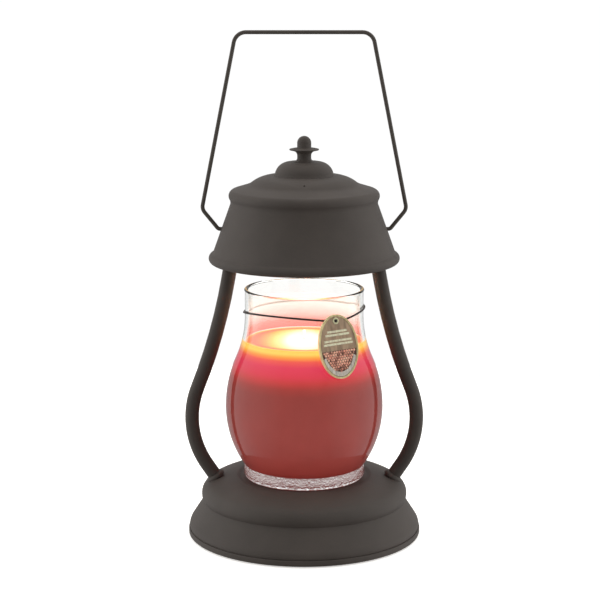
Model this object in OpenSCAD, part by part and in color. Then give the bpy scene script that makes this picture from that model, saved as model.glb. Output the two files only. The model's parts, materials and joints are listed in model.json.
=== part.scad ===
// Candle warmer lantern: a lamp in a hood shines down on a jar candle.
// Millimetres, +Z up. The origin is the centre of the base, on the table.
// The front is -Y, and the two arms stand on the X axis.

/* [Base] */
// Radius of the bottom rim
rim_r = 92; // [86:0.5:100]
// Height of the top of the bottom rim
rim_h = 5.5; // [5:0.25:7]
// Thickness of the rim and of the bottom plate
plate_t = 1.2; // [0.8:0.1:1.6]
// Height of the rim's lower edge above the table
rim_lift = 0.8; // [0.4:0.1:1.5]
// Thickness of the felt pad under the plate
felt_t = 3.2; // [2.6:0.1:3.6]
// Gap between the felt pad's edge and the inside of the rim
felt_in = 4.8; // [2:0.2:12]
// Height of the top of the base
base_h = 47.3; // [44:0.5:52]
// Thickness of the spun base shell
base_t = 1.2; // [0.8:0.1:1.8]
// Radius of the lip round the jar's recess
lip_r = 54; // [52:0.5:56]
// Width of the slope between the lip and the recess floor
lip_slope = 4.5; // [3:0.5:5]
// Depth of the jar's recess
recess_d = 1.3; // [0.8:0.1:1.4]
// Radius of the curve that falls from the lip to the shoulder
crown_curve = 45; // [42:1:50]
// Radius of the base's rounded shoulder
shoulder_r = 10; // [8:0.5:11]
// Height of the centre of the curve above the rim
flare_z = 7; // [6.5:0.5:8]
// Radius of the curve above the rim
flare_curve = 9; // [7:0.5:10]
// Step from the rim in to the shell
rim_step = 0.7; // [0.4:0.1:1.2]

/* [Base fittings] */
// Distance of the base screws in from the rim
screw_in = 12; // [11:0.5:18]
// Number of base screws
screw_n = 3; // [2:1:6]
// Radius of the base screws' thread
screw_r = 1.5; // [1.2:0.1:2]
// Length of the base screws under the head
screw_len = 6; // [5:0.5:8]
// Radius of the screws' heads
screw_head_r = 3.2; // [2.6:0.1:3.6]
// Height of the screws' heads
screw_head_h = 1.6; // [1:0.1:2]
// Width of the screw tabs
tab_w = 14; // [10:1:18]
// Thickness of the screw tabs
tab_t = 1.6; // [1:0.1:2.5]
// Height of the cord inlet's axis
inlet_z = 11; // [10.5:0.5:14]
// Radius of the bore for the cord
inlet_bore = 2.7; // [2:0.1:3.2]
// Radius of the gland's flange
gland_r = 5.2; // [4.8:0.1:5.4]
// Thickness of the gland's neck round the bore
gland_wall = 1; // [0.7:0.1:1.2]
// Length of the gland
gland_in = 14; // [12:0.5:18]
// Distance of the terminal block's near end from the centre
block_x = 16; // [10:1:20]
// Length of the terminal block
block_l = 22; // [18:1:24]
// Width of the terminal block
block_w = 16; // [12:1:20]
// Height of the terminal block
block_h = 14; // [12:1:16]

/* [Arms] */
// Radius of the arm tubes
arm_r = 5.5; // [5:0.1:6.5]
// Radius of the arm tubes' bore
arm_bore = 4; // [3.5:0.1:4.2]
// Distance of the arms' feet from the centre
foot_x = 70.1; // [68:0.5:72]
// Lean of the arms at the foot, outwards
foot_lean = 34; // [30:1:38]
// Lean of the arms above the bulge, inwards
mid_lean = 21.8; // [20:0.2:23]
// Lean of the arms at the top, inwards
top_lean = 10; // [9:0.5:12]
// Straight length of the arms at the foot
foot_straight = 12.7; // [10:0.5:15]
// Bend radius of the bulge
bulge_bend = 68; // [62:1:72]
// Bend radius of the long sweep above the bulge
sweep_bend = 440; // [400:10:480]
// Radius of the collars at the arms' feet
collar_r = 7.6; // [7:0.1:9]
// Height of the collars along the arm
collar_h = 3.2; // [2.6:0.1:5]
// Straight gap between the base and the end of each tube, inside the collar
arm_lift = 1.5; // [1:0.1:2.2]

/* [Arm fittings] */
// Radius of the threaded nipples' bore
nipple_bore = 2.7; // [2.5:0.1:3]
// Length of the nipples inside the tubes
nipple_in = 10; // [7:0.5:14]
// Length of the foot nipples below the base's surface
nipple_down = 12; // [11:0.5:14]
// Length of the top nipples above the bracket's underside
nipple_up = 8; // [6.5:0.5:9]
// Thickness of the nuts
nut_t = 4; // [3:0.5:4.5]
// Radius of the nuts, over their corners
nut_r = 6.4; // [5.6:0.2:6.8]
// Depth of the wedge washers under the base's surface
saddle_t = 6; // [5.5:0.5:7]
// Radius of the flex inside the right arm
lead_r = 2.2; // [1.6:0.1:2.5]
// Bend radius of the flex at the foot of the arm
lead_bend_low = 10; // [8:1:12]
// Bend radius of the flex above the arm
lead_bend_high = 8; // [6:1:10]
// Height of the flex's entry over the foot of the holder
lead_up = 3.5; // [3:0.1:5]

/* [Hood] */
// Height of the hood's lower edge above the jar's rim
hood_gap = 20.3; // [19.5:0.5:26]
// Thickness of the spun hood
hood_t = 0.9; // [0.6:0.1:1.2]
// Radius of the hood's lower edge, over its rolled bead
hood_r = 74.3; // [72:0.5:80]
// Radius of the rolled bead
bead_r = 3.8; // [3:0.2:4.4]
// Radius of the hood's neck
neck_r = 57.2; // [56.5:0.5:59]
// Height of the neck above the lower edge
neck_up = 46; // [44:0.5:50]
// Radius of the roll at the hood's shoulder
roll_r = 5; // [4:0.5:6]
// Height of the roll's centre above the neck
roll_up = 6.3; // [5:0.5:7.5]
// How far the roll stands out over the neck
roll_out = 1.3; // [0.5:0.1:2]
// Radius of the curve of the lower dome
dome_curve = 26; // [24:1:28]
// Radius at which the lower dome is highest
dome_r = 25; // [24:0.5:26]
// Height of the lower dome above the roll's centre
dome_up = 15.6; // [15:0.5:18]
// Height of the upper dome above the lower dome
cap_h = 10.6; // [10.2:0.2:12]
// Radius of the curve of the upper dome
cap_curve = 11.2; // [10:0.4:12]
// Radius of the flat top
cap_flat = 11.6; // [11:0.2:12.4]
// Radius of the vent hole in the front of the dome
vent_r = 0.8; // [0.4:0.05:1.2]
// Distance of the vent hole from the hood's axis
vent_x = 38; // [31:1:40]

/* [Finial] */
// Radius of the finial's disc
disc_r = 11.5; // [9:0.5:14]
// Height of the finial's disc above the hood
disc_up = 9.5; // [8.5:0.5:12]
// Radius of the finial's ball
ball_r = 5.45; // [5:0.2:6.5]
// Straight height under the ball's round top
ball_up = 3.4; // [2:0.2:5]
// Radius of the finial's waist
waist_r = 5.4; // [4:0.2:5.4]
// Radius of the finial's stud
stud_r = 2; // [1.5:0.1:2.5]
// Thickness of the finial's nut
finial_nut_t = 3; // [2:0.5:4]

/* [Lamp holder] */
// Height of the hanger over the lamp bracket
hanger_h = 25.3; // [25:0.5:28]
// Thickness of the hanger
hanger_t = 1.6; // [1:0.1:2]
// Width of the hanger
hanger_w = 12; // [9:0.5:13]
// Thickness of the lamp bracket
bracket_t = 2; // [1.5:0.1:2.5]
// Radius of the round plate in the middle of the bracket
bracket_r = 30; // [29:0.5:31]
// Width of the bracket's two ends
bracket_w = 16; // [14.5:0.5:17]
// Drop from the round plate to the bracket's ends
bracket_drop = 12; // [10:0.5:13]
// Radius of the holder
holder_r = 12; // [11.5:0.1:12.5]
// Height of the holder
holder_h = 17; // [15:0.5:17.5]
// Thickness of the holder's slotted floor
holder_floor = 3; // [2.5:0.1:3.5]
// Radius of the well over the slotted floor
holder_well = 9; // [8:0.2:10]
// Height of the well
well_h = 9; // [8:0.5:10]
// Thickness of the holder's ears
ear_t = 5; // [4:0.5:6]
// Width of the ears
ear_w = 8; // [7:0.5:10]
// Radius of the heads of the screws in the ears
ear_head_r = 2.8; // [2.4:0.1:3.2]
// Thickness of the sprung contacts
leaf_t = 0.8; // [0.5:0.1:1]
// Length of the bracket's pads towards the bulb, from the arms' axes
pad_in = 7.5; // [7:0.5:9]
// Length of the bracket's pads away from the bulb
pad_out = 6; // [5.8:0.1:7]
// Distance of the hanger's rivets from the axis
rivet_y = 25; // [23:0.5:26]
// Radius of the rivets
rivet_r = 1.6; // [1.2:0.1:2]
// Distance of the hanger's legs from the axis
hanger_leg = 17; // [16:0.5:19]
// Height of the straight part of the hanger's legs
hanger_up = 14; // [10:0.5:18]
// Half of the hanger's flat top
hanger_top = 8.6; // [7:0.2:11]
// Distance of the ends of the hanger's feet from the axis
hanger_foot = 29; // [28:0.5:30]

/* [Bulb] */
// Radius of the bulb's face
bulb_r = 25; // [22:0.5:28]
// Length of the bulb from its face to its seat
bulb_len = 49; // [46:0.5:51]
// Radius of the bulb's base
bulb_base_r = 10; // [9:0.2:10.4]
// Distance of the two pins from the bulb's axis
pin_x = 5; // [4.8:0.1:5.2]
// Radius of the pins' shanks
pin_r = 1.5; // [1.2:0.1:1.7]
// Radius of the pins' heads
pin_head = 2.45; // [2.2:0.05:2.6]
// Height of the pins' heads
pin_head_h = 2.6; // [2:0.1:3]
// Depth of the pins in the bulb's base
pin_in = 3; // [2:0.5:5]
// Height of the bulb's base
bulb_base_h = 8; // [6:0.5:10]
// Height of the bulb's straight rim
bulb_rim_h = 6; // [4:0.5:8]
// Thickness of the reflector's glass
bulb_t = 1.4; // [1:0.1:2]
// Thickness of the front lens
lens_t = 1.5; // [1:0.1:2]
// Radius of the capsule inside the bulb
capsule_r = 4; // [3:0.5:5]
// Length of the capsule's straight part
capsule_h = 22; // [16:1:28]
// Turn that unlocks the bulb
bulb_turn = 22; // [15:1:30]

/* [Bail] */
// Radius of the bail's wire
wire_r = 1.55; // [1.2:0.05:1.8]
// Height of the bail's pivots above the hood's lower edge
pivot_up = 26.2; // [24:0.5:28]
// Height of the bail's bar above its pivots
bail_h = 151.1; // [140:1:160]
// How far the bail's shoulders stand outside its pivots
bail_out = 12.6; // [11:0.2:15]
// Height of the bail's shoulders above its pivots
bail_shoulder = 15.6; // [14:0.5:20]
// Half of the bail's bar, to where its corners would meet
bail_bar = 52.1; // [46:1:58]
// Bend radius of the bail's upper corners
bail_corner = 9.5; // [6:0.5:12]
// Bend radius of the bail's shoulders
bail_bend = 7; // [5:0.5:10]
// Bend radius of the wire at its pivots
pivot_bend = 3; // [2:0.2:4]
// Radius of the caps on the ends of the wire
wire_cap_r = 4; // [3:0.2:5]
// Thickness of the caps
wire_cap_t = 1.2; // [0.8:0.1:2]

/* [Candle jar] */
// Height of the jar
jar_h = 151.4; // [146:0.5:158]
// Radius of the jar's foot
jar_foot_r = 47.6; // [46:0.2:48]
// Height of the jar's foot ring
jar_foot_h = 11.5; // [9:0.5:13]
// Radius of the corner under the foot
jar_corner = 3.5; // [3:0.1:5]
// Greatest radius of the jar
belly_r = 62; // [60:0.5:64]
// Height of the greatest radius above the foot
belly_up = 57.3; // [54:0.5:60]
// Radius of the curve above the belly
belly_curve = 96; // [92:1:102]
// Steepest slope of the jar's shoulder
jar_slope = 24; // [22:0.5:25]
// Radius of the jar's neck
jar_neck_r = 46.4; // [45:0.2:47.5]
// How far the rounded lip stands out over the neck
lip_flare = 0.5; // [0:0.1:1]
// Thickness of the glass
glass_t = 2.6; // [2:0.1:3.2]
// Thickness of the glass floor
glass_floor = 9; // [6:0.5:12]
// Height of the wax above the glass floor
wax_h = 102; // [95:1:112]
// Radius of the wick
wick_r = 1.2; // [0.8:0.1:1.6]
// Height of the wick above the wax
wick_up = 7; // [3:0.5:10]
// Radius of the metal tab that holds the wick
tab_r = 9; // [6:0.5:14]
// Thickness of the tab
wick_tab_t = 1; // [0.6:0.1:1.5]
// Height of the tab's neck
tab_neck = 5; // [3:0.5:8]

/* [Band and tag] */
// Radius of the elastic band's cord
band_r = 0.75; // [0.5:0.05:1]
// Height of the band's middle above the jar's foot
band_up = 132.9; // [132:0.5:138]
// Slope of the band, higher on the right
band_tilt = 1.4; // [0:0.1:2]
// Angle of the tag round the jar, from the front to the right
tag_angle = 28; // [0:1:60]
// Width of the oval tag
tag_w = 33.5; // [28:0.5:40]
// Length of the oval tag
tag_len = 49; // [40:1:52]
// Thickness of the tag
tag_t = 1.6; // [1:0.1:2]
// Lean of the tag, its lower end out on the glass
tag_lean = 10.8; // [10.6:0.1:14]
// How far the tag swings out, until its upper end comes near the glass
tag_swing = 14; // [6:1:14]
// Slant of the tag across the glass
tag_roll = 0.7; // [0:0.1:10]
// Distance of the eyelet from the tag's upper end
eyelet_down = 4.8; // [4:0.1:5]
// Height of the tag's raised rim
tag_rim_t = 0.6; // [0.3:0.1:1]
// Width of the raised rim
tag_rim_w = 1.4; // [0.8:0.1:2]
// Radius of the eyelet's tube
eyelet_r = 2; // [1.6:0.1:2.2]
// Radius of the hole through the eyelet
eyelet_bore = 1.1; // [0.9:0.1:1.3]
// Width of the loop that hangs the tag on the band
loop_w = 3; // [2:0.5:4]
// Thickness of the loop
loop_t = 0.6; // [0.4:0.1:0.7]

/* [Fits] */
// Gap round a wire or sleeve that turns
run_gap = 0.05; // [0.02:0.01:0.1]
// Gap round the band inside the tag's loop
loop_gap = 0.1; // [0.06:0.01:0.1]
// Gap round a screw or pipe in a drilled hole
drill_gap = 0.15; // [0.1:0.05:0.4]
// Gap round the bulb's base in its hole
base_gap = 0.6; // [0.4:0.1:1]
// Gap round the bulb's pins in the holder
slot_gap = 0.4; // [0.3:0.05:0.5]
// Gap over the holder's floor, under the pins' heads
pin_lift = 0.4; // [0.2:0.1:0.6]
// Gap between two pieces that lie side by side
lay_gap = 0.2; // [0.1:0.05:0.3]
// Gap between the wax and the glass
wax_gap = 0.12; // [0.1:0.01:0.2]

/* [Hidden] */
$fn = 72;

// Colours
bronze = "#4a423d";
wire_black = "#3b3632";
steel = "#a9a9a6";
zinc = "#c2c2bd";
black_felt = "#24221f";
ceramic = "#ebe6da";
brass = "#c2a14d";
clear_glass = [0.85, 0.92, 0.93, 0.35];
wax_red = "#9a3f39";

// Heights
floor_z = base_h - recess_d;
rim_z = floor_z + jar_h;
hood_z = rim_z + hood_gap;
neck_z = hood_z + neck_up;
roll_z = neck_z + roll_up;
dome_z = roll_z + dome_up;
top_z = dome_z + cap_h;
seat_z = top_z - hood_t - hanger_h;
pivot_z = hood_z + pivot_up;
deck_z = felt_t + plate_t;

// Places and sizes that follow from the ones above
felt_r = rim_r - plate_t - felt_in;
screw_ring = rim_r - screw_in;
nipple_r = arm_bore;
gland_neck_r = inlet_bore + gland_wall;

// How far a cutter reaches past what it cuts, and the number of a nut's sides
over = 1;
hex = 6;

// Width of the bands that join a rod's straights to its bends, and how far they stand out
joint_w = 0.4;
joint_out = 0.03;

// ---- Paths ----

function unit(v) = v / norm(v);
function right_of(v) = [v[1], -v[0]];
function reversed(p) = [for (i = [len(p) - 1:-1:0]) p[i]];
function lean(a) = [sin(a), cos(a)];

// Points of an arc about c, from angle a to angle b
function arc(c, r, a, b, n = 8) =
    [for (i = [0:n]) c + r * [cos(a + (b - a) * i / n), sin(a + (b - a) * i / n)]];

// A path moved by t to its own right
function beside(p, t) = [for (i = [0:len(p) - 1])
    p[i] + t * right_of(unit(p[min(i + 1, len(p) - 1)] - p[max(i - 1, 0)]))];

// The closed outline of a sheet of thickness t, whose outer face is the path p
function sheet(p, t) = concat(p, reversed(beside(p, t)));

// The closed outline between a path and the axis
function to_axis(p) = concat([[0, p[0][1]]], p, [[0, p[len(p) - 1][1]]]);

// Half of the turn at corner i of a path
function half_turn(p, i) =
    let (u = unit(p[i] - p[i - 1]), v = unit(p[i + 1] - p[i])) acos(max(-1, min(1, u * v))) / 2;

// Length that a bend of radius b takes from each side of corner i
function bend_cut(p, b, i) = (i == 0 || i == len(p) - 1) ? 0 : b[i] * tan(half_turn(p, i));

// A path whose two ends are longer by e
function stretched(p, e) = let (n = len(p) - 1) [for (i = [0:n])
    i == 0 ? p[0] - e * unit(p[1] - p[0]) : i == n ? p[n] + e * unit(p[n] - p[n - 1]) : p[i]];

// A round rod along the corners p in the XZ plane, with bend radius b[i] at corner i.
// A short band, just proud of the rod, joins each straight to its bend.
module rod(p, b, r) {
    n = len(p) - 1;
    for (i = [0:n - 1]) {
        u = unit(p[i + 1] - p[i]);
        from = p[i] + bend_cut(p, b, i) * u;
        length = norm(p[i + 1] - p[i]) - bend_cut(p, b, i) - bend_cut(p, b, i + 1);
        translate([from[0], 0, from[1]]) rotate([0, atan2(u[0], u[1]), 0]) {
            cylinder(h = length, r = r);
            if (i > 0) cylinder(h = joint_w, r = r + joint_out, center = true);
            if (i < n - 1) translate([0, 0, length])
                cylinder(h = joint_w, r = r + joint_out, center = true);
        }
    }
    for (i = [1:n - 1]) {
        u = unit(p[i] - p[i - 1]);
        v = unit(p[i + 1] - p[i]);
        left = u[0] * v[1] - u[1] * v[0] > 0;
        side = left ? -right_of(u) : right_of(u);
        middle = p[i] - bend_cut(p, b, i) * u + b[i] * side;
        first = atan2(-side[1], -side[0]);
        turn = 2 * half_turn(p, i);
        translate([middle[0], 0, middle[1]]) rotate([90, 0, 0])
            rotate([0, 0, left ? first : first - turn])
                rotate_extrude(angle = turn) translate([b[i], 0]) circle(r = r);
    }
}

module spun(outline) rotate_extrude() polygon(outline);
module both_sides() { children(); mirror([1, 0, 0]) children(); }

// ---- Base ----

crown_c = [lip_r, base_h - crown_curve];
shoulder_c = crown_c + (crown_curve - shoulder_r) * [cos(60), sin(60)];
flare_c = [rim_r - rim_step - flare_curve, flare_z];
tuck_r = rim_r - plate_t - lay_gap;

base_path = concat(
    [[0, floor_z]],
    [for (i = [0:8]) [lip_r - lip_slope * (1 - i / 8), floor_z + recess_d * (1 - cos(22.5 * i)) / 2]],
    arc(crown_c, crown_curve, 87, 60),
    arc(shoulder_c, shoulder_r, 54, -30, 12),
    [shoulder_c + [0.92, -0.64] * shoulder_r],
    arc(flare_c, flare_curve, 34, 0),
    [[tuck_r + 0.4, rim_h + 0.2], [tuck_r, rim_h - 0.2], [tuck_r, deck_z]]);

module base_outside() spun(to_axis(base_path));
module base_inside() spun(to_axis(beside(base_path, base_t)));

// Height of the base's surface over a point r from the axis
function crown_at(r) = crown_c[1] + sqrt(pow(crown_curve, 2) - pow(r - lip_r, 2));

// n places on a ring of radius r, none of them at the back, where the cord comes in
module ring_of(n, r) for (i = [0:n - 1])
    rotate([0, 0, 360 * (i + 0.5) / n + 90]) translate([r, 0, 0]) children();

module base_shell() color(bronze) difference() {
    spun(sheet(base_path, base_t));
    both_sides() at_foot() translate([0, 0, -nipple_down])
        cylinder(h = 2 * nipple_down, r = nipple_r + drill_gap);
    translate([0, rim_r + over, inlet_z]) rotate([90, 0, 0]) cylinder(h = rim_r / 3, r = gland_neck_r);
}

module base_plate() color(bronze) difference() {
    spun([[0, felt_t], [rim_r - plate_t, felt_t], [rim_r - plate_t, rim_lift + 0.3], [rim_r - 0.9, rim_lift],
        [rim_r - 0.3, rim_lift + 0.2], [rim_r, rim_lift + 0.8], [rim_r, rim_h - 0.7],
        [rim_r - 0.3, rim_h - 0.15], [rim_r - 0.8, rim_h], [rim_r - plate_t, rim_h - 0.3],
        [rim_r - plate_t, deck_z], [0, deck_z]]);
    ring_of(screw_n, screw_ring) cylinder(h = deck_z + over, r = screw_r + drill_gap);
}

module felt_pad() color(black_felt) difference() {
    cylinder(h = felt_t, r = felt_r);
    ring_of(screw_n, screw_ring) translate([0, 0, -over])
        cylinder(h = felt_t + 2 * over, r = screw_head_r + over);
}

// Tabs welded inside the shell, tapped for the base screws
module screw_tabs() color(steel) difference() {
    intersection() {
        ring_of(screw_n, screw_ring) translate([-tab_w / 2, -tab_w / 2, deck_z])
            cube([tab_w / 2 + rim_r - screw_ring, tab_w, tab_t]);
        base_inside();
    }
    ring_of(screw_n, screw_ring) cylinder(h = 2 * deck_z + tab_t, r = screw_r);
}

module base_screws() color(zinc) ring_of(screw_n, screw_ring) {
    translate([0, 0, felt_t - screw_head_h]) cylinder(h = screw_head_h, r = screw_head_r);
    translate([0, 0, felt_t - screw_head_h / 2]) cylinder(h = screw_len + screw_head_h / 2, r = screw_r);
}

// ---- Cord inlet and wiring ----

gland_face = rim_r - 0.4;

module cord_gland() color(wire_black) translate([0, gland_face, inlet_z]) rotate([90, 0, 0]) difference() {
    union() {
        cylinder(h = gland_in, r = gland_neck_r);
        difference() {
            cylinder(h = gland_in / 2, r = gland_r);
            rotate([-90, 0, 0]) translate([0, -gland_face, -inlet_z]) base_outside();
        }
        translate([0, 0, gland_in - 2]) cylinder(h = 2, r1 = gland_neck_r, r2 = gland_neck_r + 0.8);
    }
    translate([0, 0, -over]) cylinder(h = gland_in + 2 * over, r = inlet_bore);
}

lead_z = deck_z + block_h * 0.6;
block_end = block_x + block_l;

module terminal_block() color(ceramic) difference() {
    translate([block_x, -block_w / 2, deck_z]) cube([block_l, block_w, block_h]);
    for (x = [0.3, 0.7], y = [-1, 1])
        translate([block_x + block_l * x, y * block_w / 4, deck_z + block_h / 2])
            cylinder(h = block_h, r = block_w / 8);
    translate([block_x - over, 0, lead_z]) rotate([0, 90, 0]) cylinder(h = block_l / 4, r = lead_r);
}

// ---- Arms ----

foot = [foot_x, crown_at(foot_x)];
bulge_half = (foot_lean + mid_lean) / 2;
sweep_half = (mid_lean - top_lean) / 2;
corner_1 = foot + (foot_straight + bulge_bend * tan(bulge_half)) * lean(foot_lean);
corner_2 = corner_1 + (bulge_bend * tan(bulge_half) + sweep_bend * tan(sweep_half)) * lean(-mid_lean);
pad_z = seat_z - bracket_t - bracket_drop;
arm_top = corner_2 + (pad_z - corner_2[1]) / cos(top_lean) * lean(-top_lean);
arm_path = [foot + arm_lift * lean(foot_lean), corner_1, corner_2, arm_top];
arm_bends = [0, bulge_bend, sweep_bend, 0];

// Puts a piece at the right arm's foot or top, with +Z along the tube
module at_foot() translate([foot[0], 0, foot[1]]) rotate([0, foot_lean, 0]) children();
module at_top() translate([arm_top[0], 0, arm_top[1]]) rotate([0, -top_lean, 0]) children();

module arm() color(bronze) difference() {
    rod(arm_path, arm_bends, arm_r);
    rod(stretched(arm_path, over), arm_bends, arm_bore);
}
module arm_right() arm();
module arm_left() mirror([1, 0, 0]) arm();

module collar() color(bronze) difference() {
    at_foot() {
        translate([0, 0, -arm_r]) cylinder(h = arm_r + collar_h - 1, r = collar_r);
        translate([0, 0, collar_h - 1]) cylinder(h = 1, r1 = collar_r, r2 = arm_r + 0.6);
    }
    base_outside();
    at_foot() translate([0, 0, -2 * arm_r]) cylinder(h = 4 * arm_r, r = arm_r);
}
module arm_collar_right() collar();
module arm_collar_left() mirror([1, 0, 0]) collar();

module pipe(from, to, r, bore) translate([0, 0, from]) difference() {
    cylinder(h = to - from, r = r);
    translate([0, 0, -over]) cylinder(h = to - from + 2 * over, r = bore);
}

module nut(t, r, bore) difference() {
    cylinder(h = t, r = r, $fn = hex);
    translate([0, 0, -over]) cylinder(h = t + 2 * over, r = bore);
}

module foot_nipples() color(zinc) both_sides() at_foot()
    pipe(-nipple_down, arm_lift + nipple_in, nipple_r, nipple_bore);

// Wedge washers that fit the slope inside the shell
module foot_saddles() color(steel) both_sides() intersection() {
    at_foot() pipe(-saddle_t, 0, collar_r, nipple_r + drill_gap);
    base_inside();
}

module foot_nuts() color(zinc) both_sides() at_foot()
    translate([0, 0, -saddle_t - nut_t]) nut(nut_t, nut_r, nipple_r);

module top_nipples() color(zinc) both_sides() at_top() pipe(-nipple_in, nipple_up, nipple_r, nipple_bore);

module top_nuts() color(zinc) both_sides() at_top()
    translate([0, 0, bracket_t]) nut(nut_t, nut_r, nipple_r);

// The flex from the terminal block through the right arm to the lamp holder
lead_low = foot - (foot[1] - lead_z) / cos(foot_lean) * lean(foot_lean);
lead_top_z = seat_z + lead_up;
lead_high = arm_top + (lead_top_z - arm_top[1]) / cos(top_lean) * lean(-top_lean);
lead_sink = 2;
lead_path = [[block_end, lead_z], lead_low, corner_1, corner_2, lead_high,
    [holder_r - lead_sink, lead_top_z]];
lead_bends = [0, lead_bend_low, bulge_bend, sweep_bend, lead_bend_high, 0];

module lamp_lead() color("#e9e6de") rod(lead_path, lead_bends, lead_r);

// ---- Lamp bracket, holder and hanger ----

pad_way = [cos(top_lean), sin(top_lean)];
bracket_under = [[-over, seat_z - bracket_t], [bracket_r, seat_z - bracket_t],
    arm_top - pad_in * pad_way, arm_top + pad_out * pad_way];

module lamp_bracket() color(steel) difference() {
    union() {
        both_sides() rotate([90, 0, 0]) linear_extrude(height = bracket_w, center = true)
            polygon(sheet(reversed(bracket_under), bracket_t));
        translate([0, 0, seat_z - bracket_t]) cylinder(h = bracket_t, r = bracket_r);
    }
    translate([0, 0, seat_z - 2 * bracket_t]) {
        cylinder(h = 3 * bracket_t, r = bulb_base_r + base_gap);
        ear_places() cylinder(h = 3 * bracket_t, r = screw_r);
        for (side = [-1, 1]) translate([0, side * rivet_y, 0]) cylinder(h = 3 * bracket_t, r = rivet_r);
    }
    both_sides() at_top() translate([0, 0, -bracket_t]) cylinder(h = 3 * bracket_t, r = nipple_r + drill_gap);
}

module ear_places() for (side = [45, 225]) rotate([0, 0, side]) translate([ear_r, 0, 0]) children();

ear_r = holder_r + ear_head_r + 2 * lay_gap;

module slot(w, from, to) rotate([0, 0, from]) rotate_extrude(angle = to - from)
    translate([pin_x, 0]) square([w, 3 * holder_floor], center = true);

module lampholder() color(ceramic) translate([0, 0, seat_z]) difference() {
    union() {
        cylinder(h = holder_h, r = holder_r);
        ear_places() cylinder(h = ear_t, r = ear_w / 2);
        rotate([0, 0, 45]) translate([-ear_r, -ear_w / 2, 0]) cube([2 * ear_r, ear_w, ear_t]);
    }
    translate([0, 0, holder_floor]) cylinder(h = well_h, r = holder_well);
    for (half = [0, 180]) rotate([0, 0, half]) {
        slot(2 * (pin_r + slot_gap), 0, -bulb_turn);
        translate([pin_x, 0, -over]) cylinder(h = holder_floor + 2 * over, r = pin_r + slot_gap);
        rotate([0, 0, -bulb_turn]) translate([pin_x, 0, -over])
            cylinder(h = holder_floor + 2 * over, r = pin_head + slot_gap);
    }
    translate([0, 0, -over]) ear_places() cylinder(h = ear_t + 2 * over, r = screw_r + drill_gap);
    translate([holder_r - lead_sink, 0, lead_top_z - seat_z]) rotate([0, 90, 0])
        cylinder(h = holder_r, r = lead_r);
}

// Two sprung leaves over the pins' heads
leaf_z = seat_z + holder_floor + pin_lift + pin_head_h + slot_gap;

module holder_contacts() color(brass) for (half = [0, 180]) rotate([0, 0, half]) {
    translate([pin_x / 2, -pin_r, leaf_z]) cube([holder_well - 1.2 - pin_x / 2, 2 * pin_r, leaf_t]);
    translate([holder_well - 2, -pin_r, leaf_z])
        cube([leaf_t, 2 * pin_r, seat_z + holder_floor + well_h - leaf_z]);
}

module holder_screws() color(zinc) translate([0, 0, seat_z]) ear_places() {
    translate([0, 0, ear_t]) cylinder(h = screw_head_h, r = ear_head_r);
    translate([0, 0, -bracket_t]) cylinder(h = bracket_t + ear_t + screw_head_h / 2, r = screw_r);
}

hanger_bend_z = seat_z + hanger_up;
hanger_path = [[hanger_foot, seat_z + hanger_t], [hanger_leg, seat_z + hanger_t],
    [hanger_leg, hanger_bend_z], [hanger_top, top_z - hood_t], [-over, top_z - hood_t]];

module shade_hanger() color(steel) difference() {
    for (side = [0, 180]) rotate([0, 0, side + 90]) rotate([90, 0, 0])
        linear_extrude(height = hanger_w, center = true) polygon(hanger_sheet);
    for (side = [-1, 1]) translate([0, side * rivet_y, seat_z - over])
        cylinder(h = hanger_t + 2 * over, r = rivet_r);
    translate([0, 0, top_z - hood_t - 2 * hanger_t]) cylinder(h = 3 * hanger_t, r = stud_r);
}

// The hanger's outline, with its inner face square to the table at both ends
hanger_sheet = concat(hanger_path, [[-over, top_z - hood_t - hanger_t],
    [hanger_top - 0.7, top_z - hood_t - hanger_t], [hanger_leg - hanger_t, hanger_bend_z - 0.6],
    [hanger_leg - hanger_t, seat_z], [hanger_foot, seat_z]]);

module hanger_rivets() color(zinc) for (side = [-1, 1]) translate([0, side * rivet_y, seat_z - bracket_t]) {
    cylinder(h = bracket_t + hanger_t, r = rivet_r);
    translate([0, 0, bracket_t + hanger_t]) cylinder(h = 1, r1 = 2 * rivet_r, r2 = rivet_r);
    translate([0, 0, -0.8]) cylinder(h = 0.8, r = 2 * rivet_r - 0.4);
}

// ---- Hood and finial ----

bead_c = [hood_r - bead_r, hood_z + bead_r];
skirt_low = bead_c + [0.05, 1.25] * bead_r;
neck = [neck_r, neck_z];
roll_c = [neck_r + roll_out - roll_r, roll_z];
dome_c = [dome_r, dome_z - dome_curve];
cap_c = [cap_flat, top_z - cap_curve];
stud_hole = stud_r + drill_gap;

hood_path = concat(
    [[stud_hole, top_z]],
    arc(cap_c, cap_curve, 90, 12, 10),
    [cap_c + [cap_curve * 1.06, 0.75]],
    arc(dome_c, dome_curve, 89, 49, 10),
    [roll_c + [-8.6, 8], roll_c + [-6.4, 7.2]],
    arc(roll_c, roll_r, 72, -38, 12),
    [neck + [-0.1, 1.3], neck],
    [skirt_low],
    arc(bead_c, bead_r, 72, -170, 18));

// Radius of the hood's skirt at height z
function skirt_at(z) = skirt_low[0] + (z - skirt_low[1]) * (neck_r - skirt_low[0]) / (neck_z - skirt_low[1]);

module shade() color(bronze) difference() {
    spun(sheet(hood_path, hood_t));
    both_sides() translate([neck_r, 0, pivot_z]) rotate([0, 90, 0])
        cylinder(h = hood_r - neck_r, r = wire_r + run_gap);
    translate([0, -vent_x, dome_z - dome_curve / 2]) cylinder(h = dome_curve, r = vent_r);
}

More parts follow.
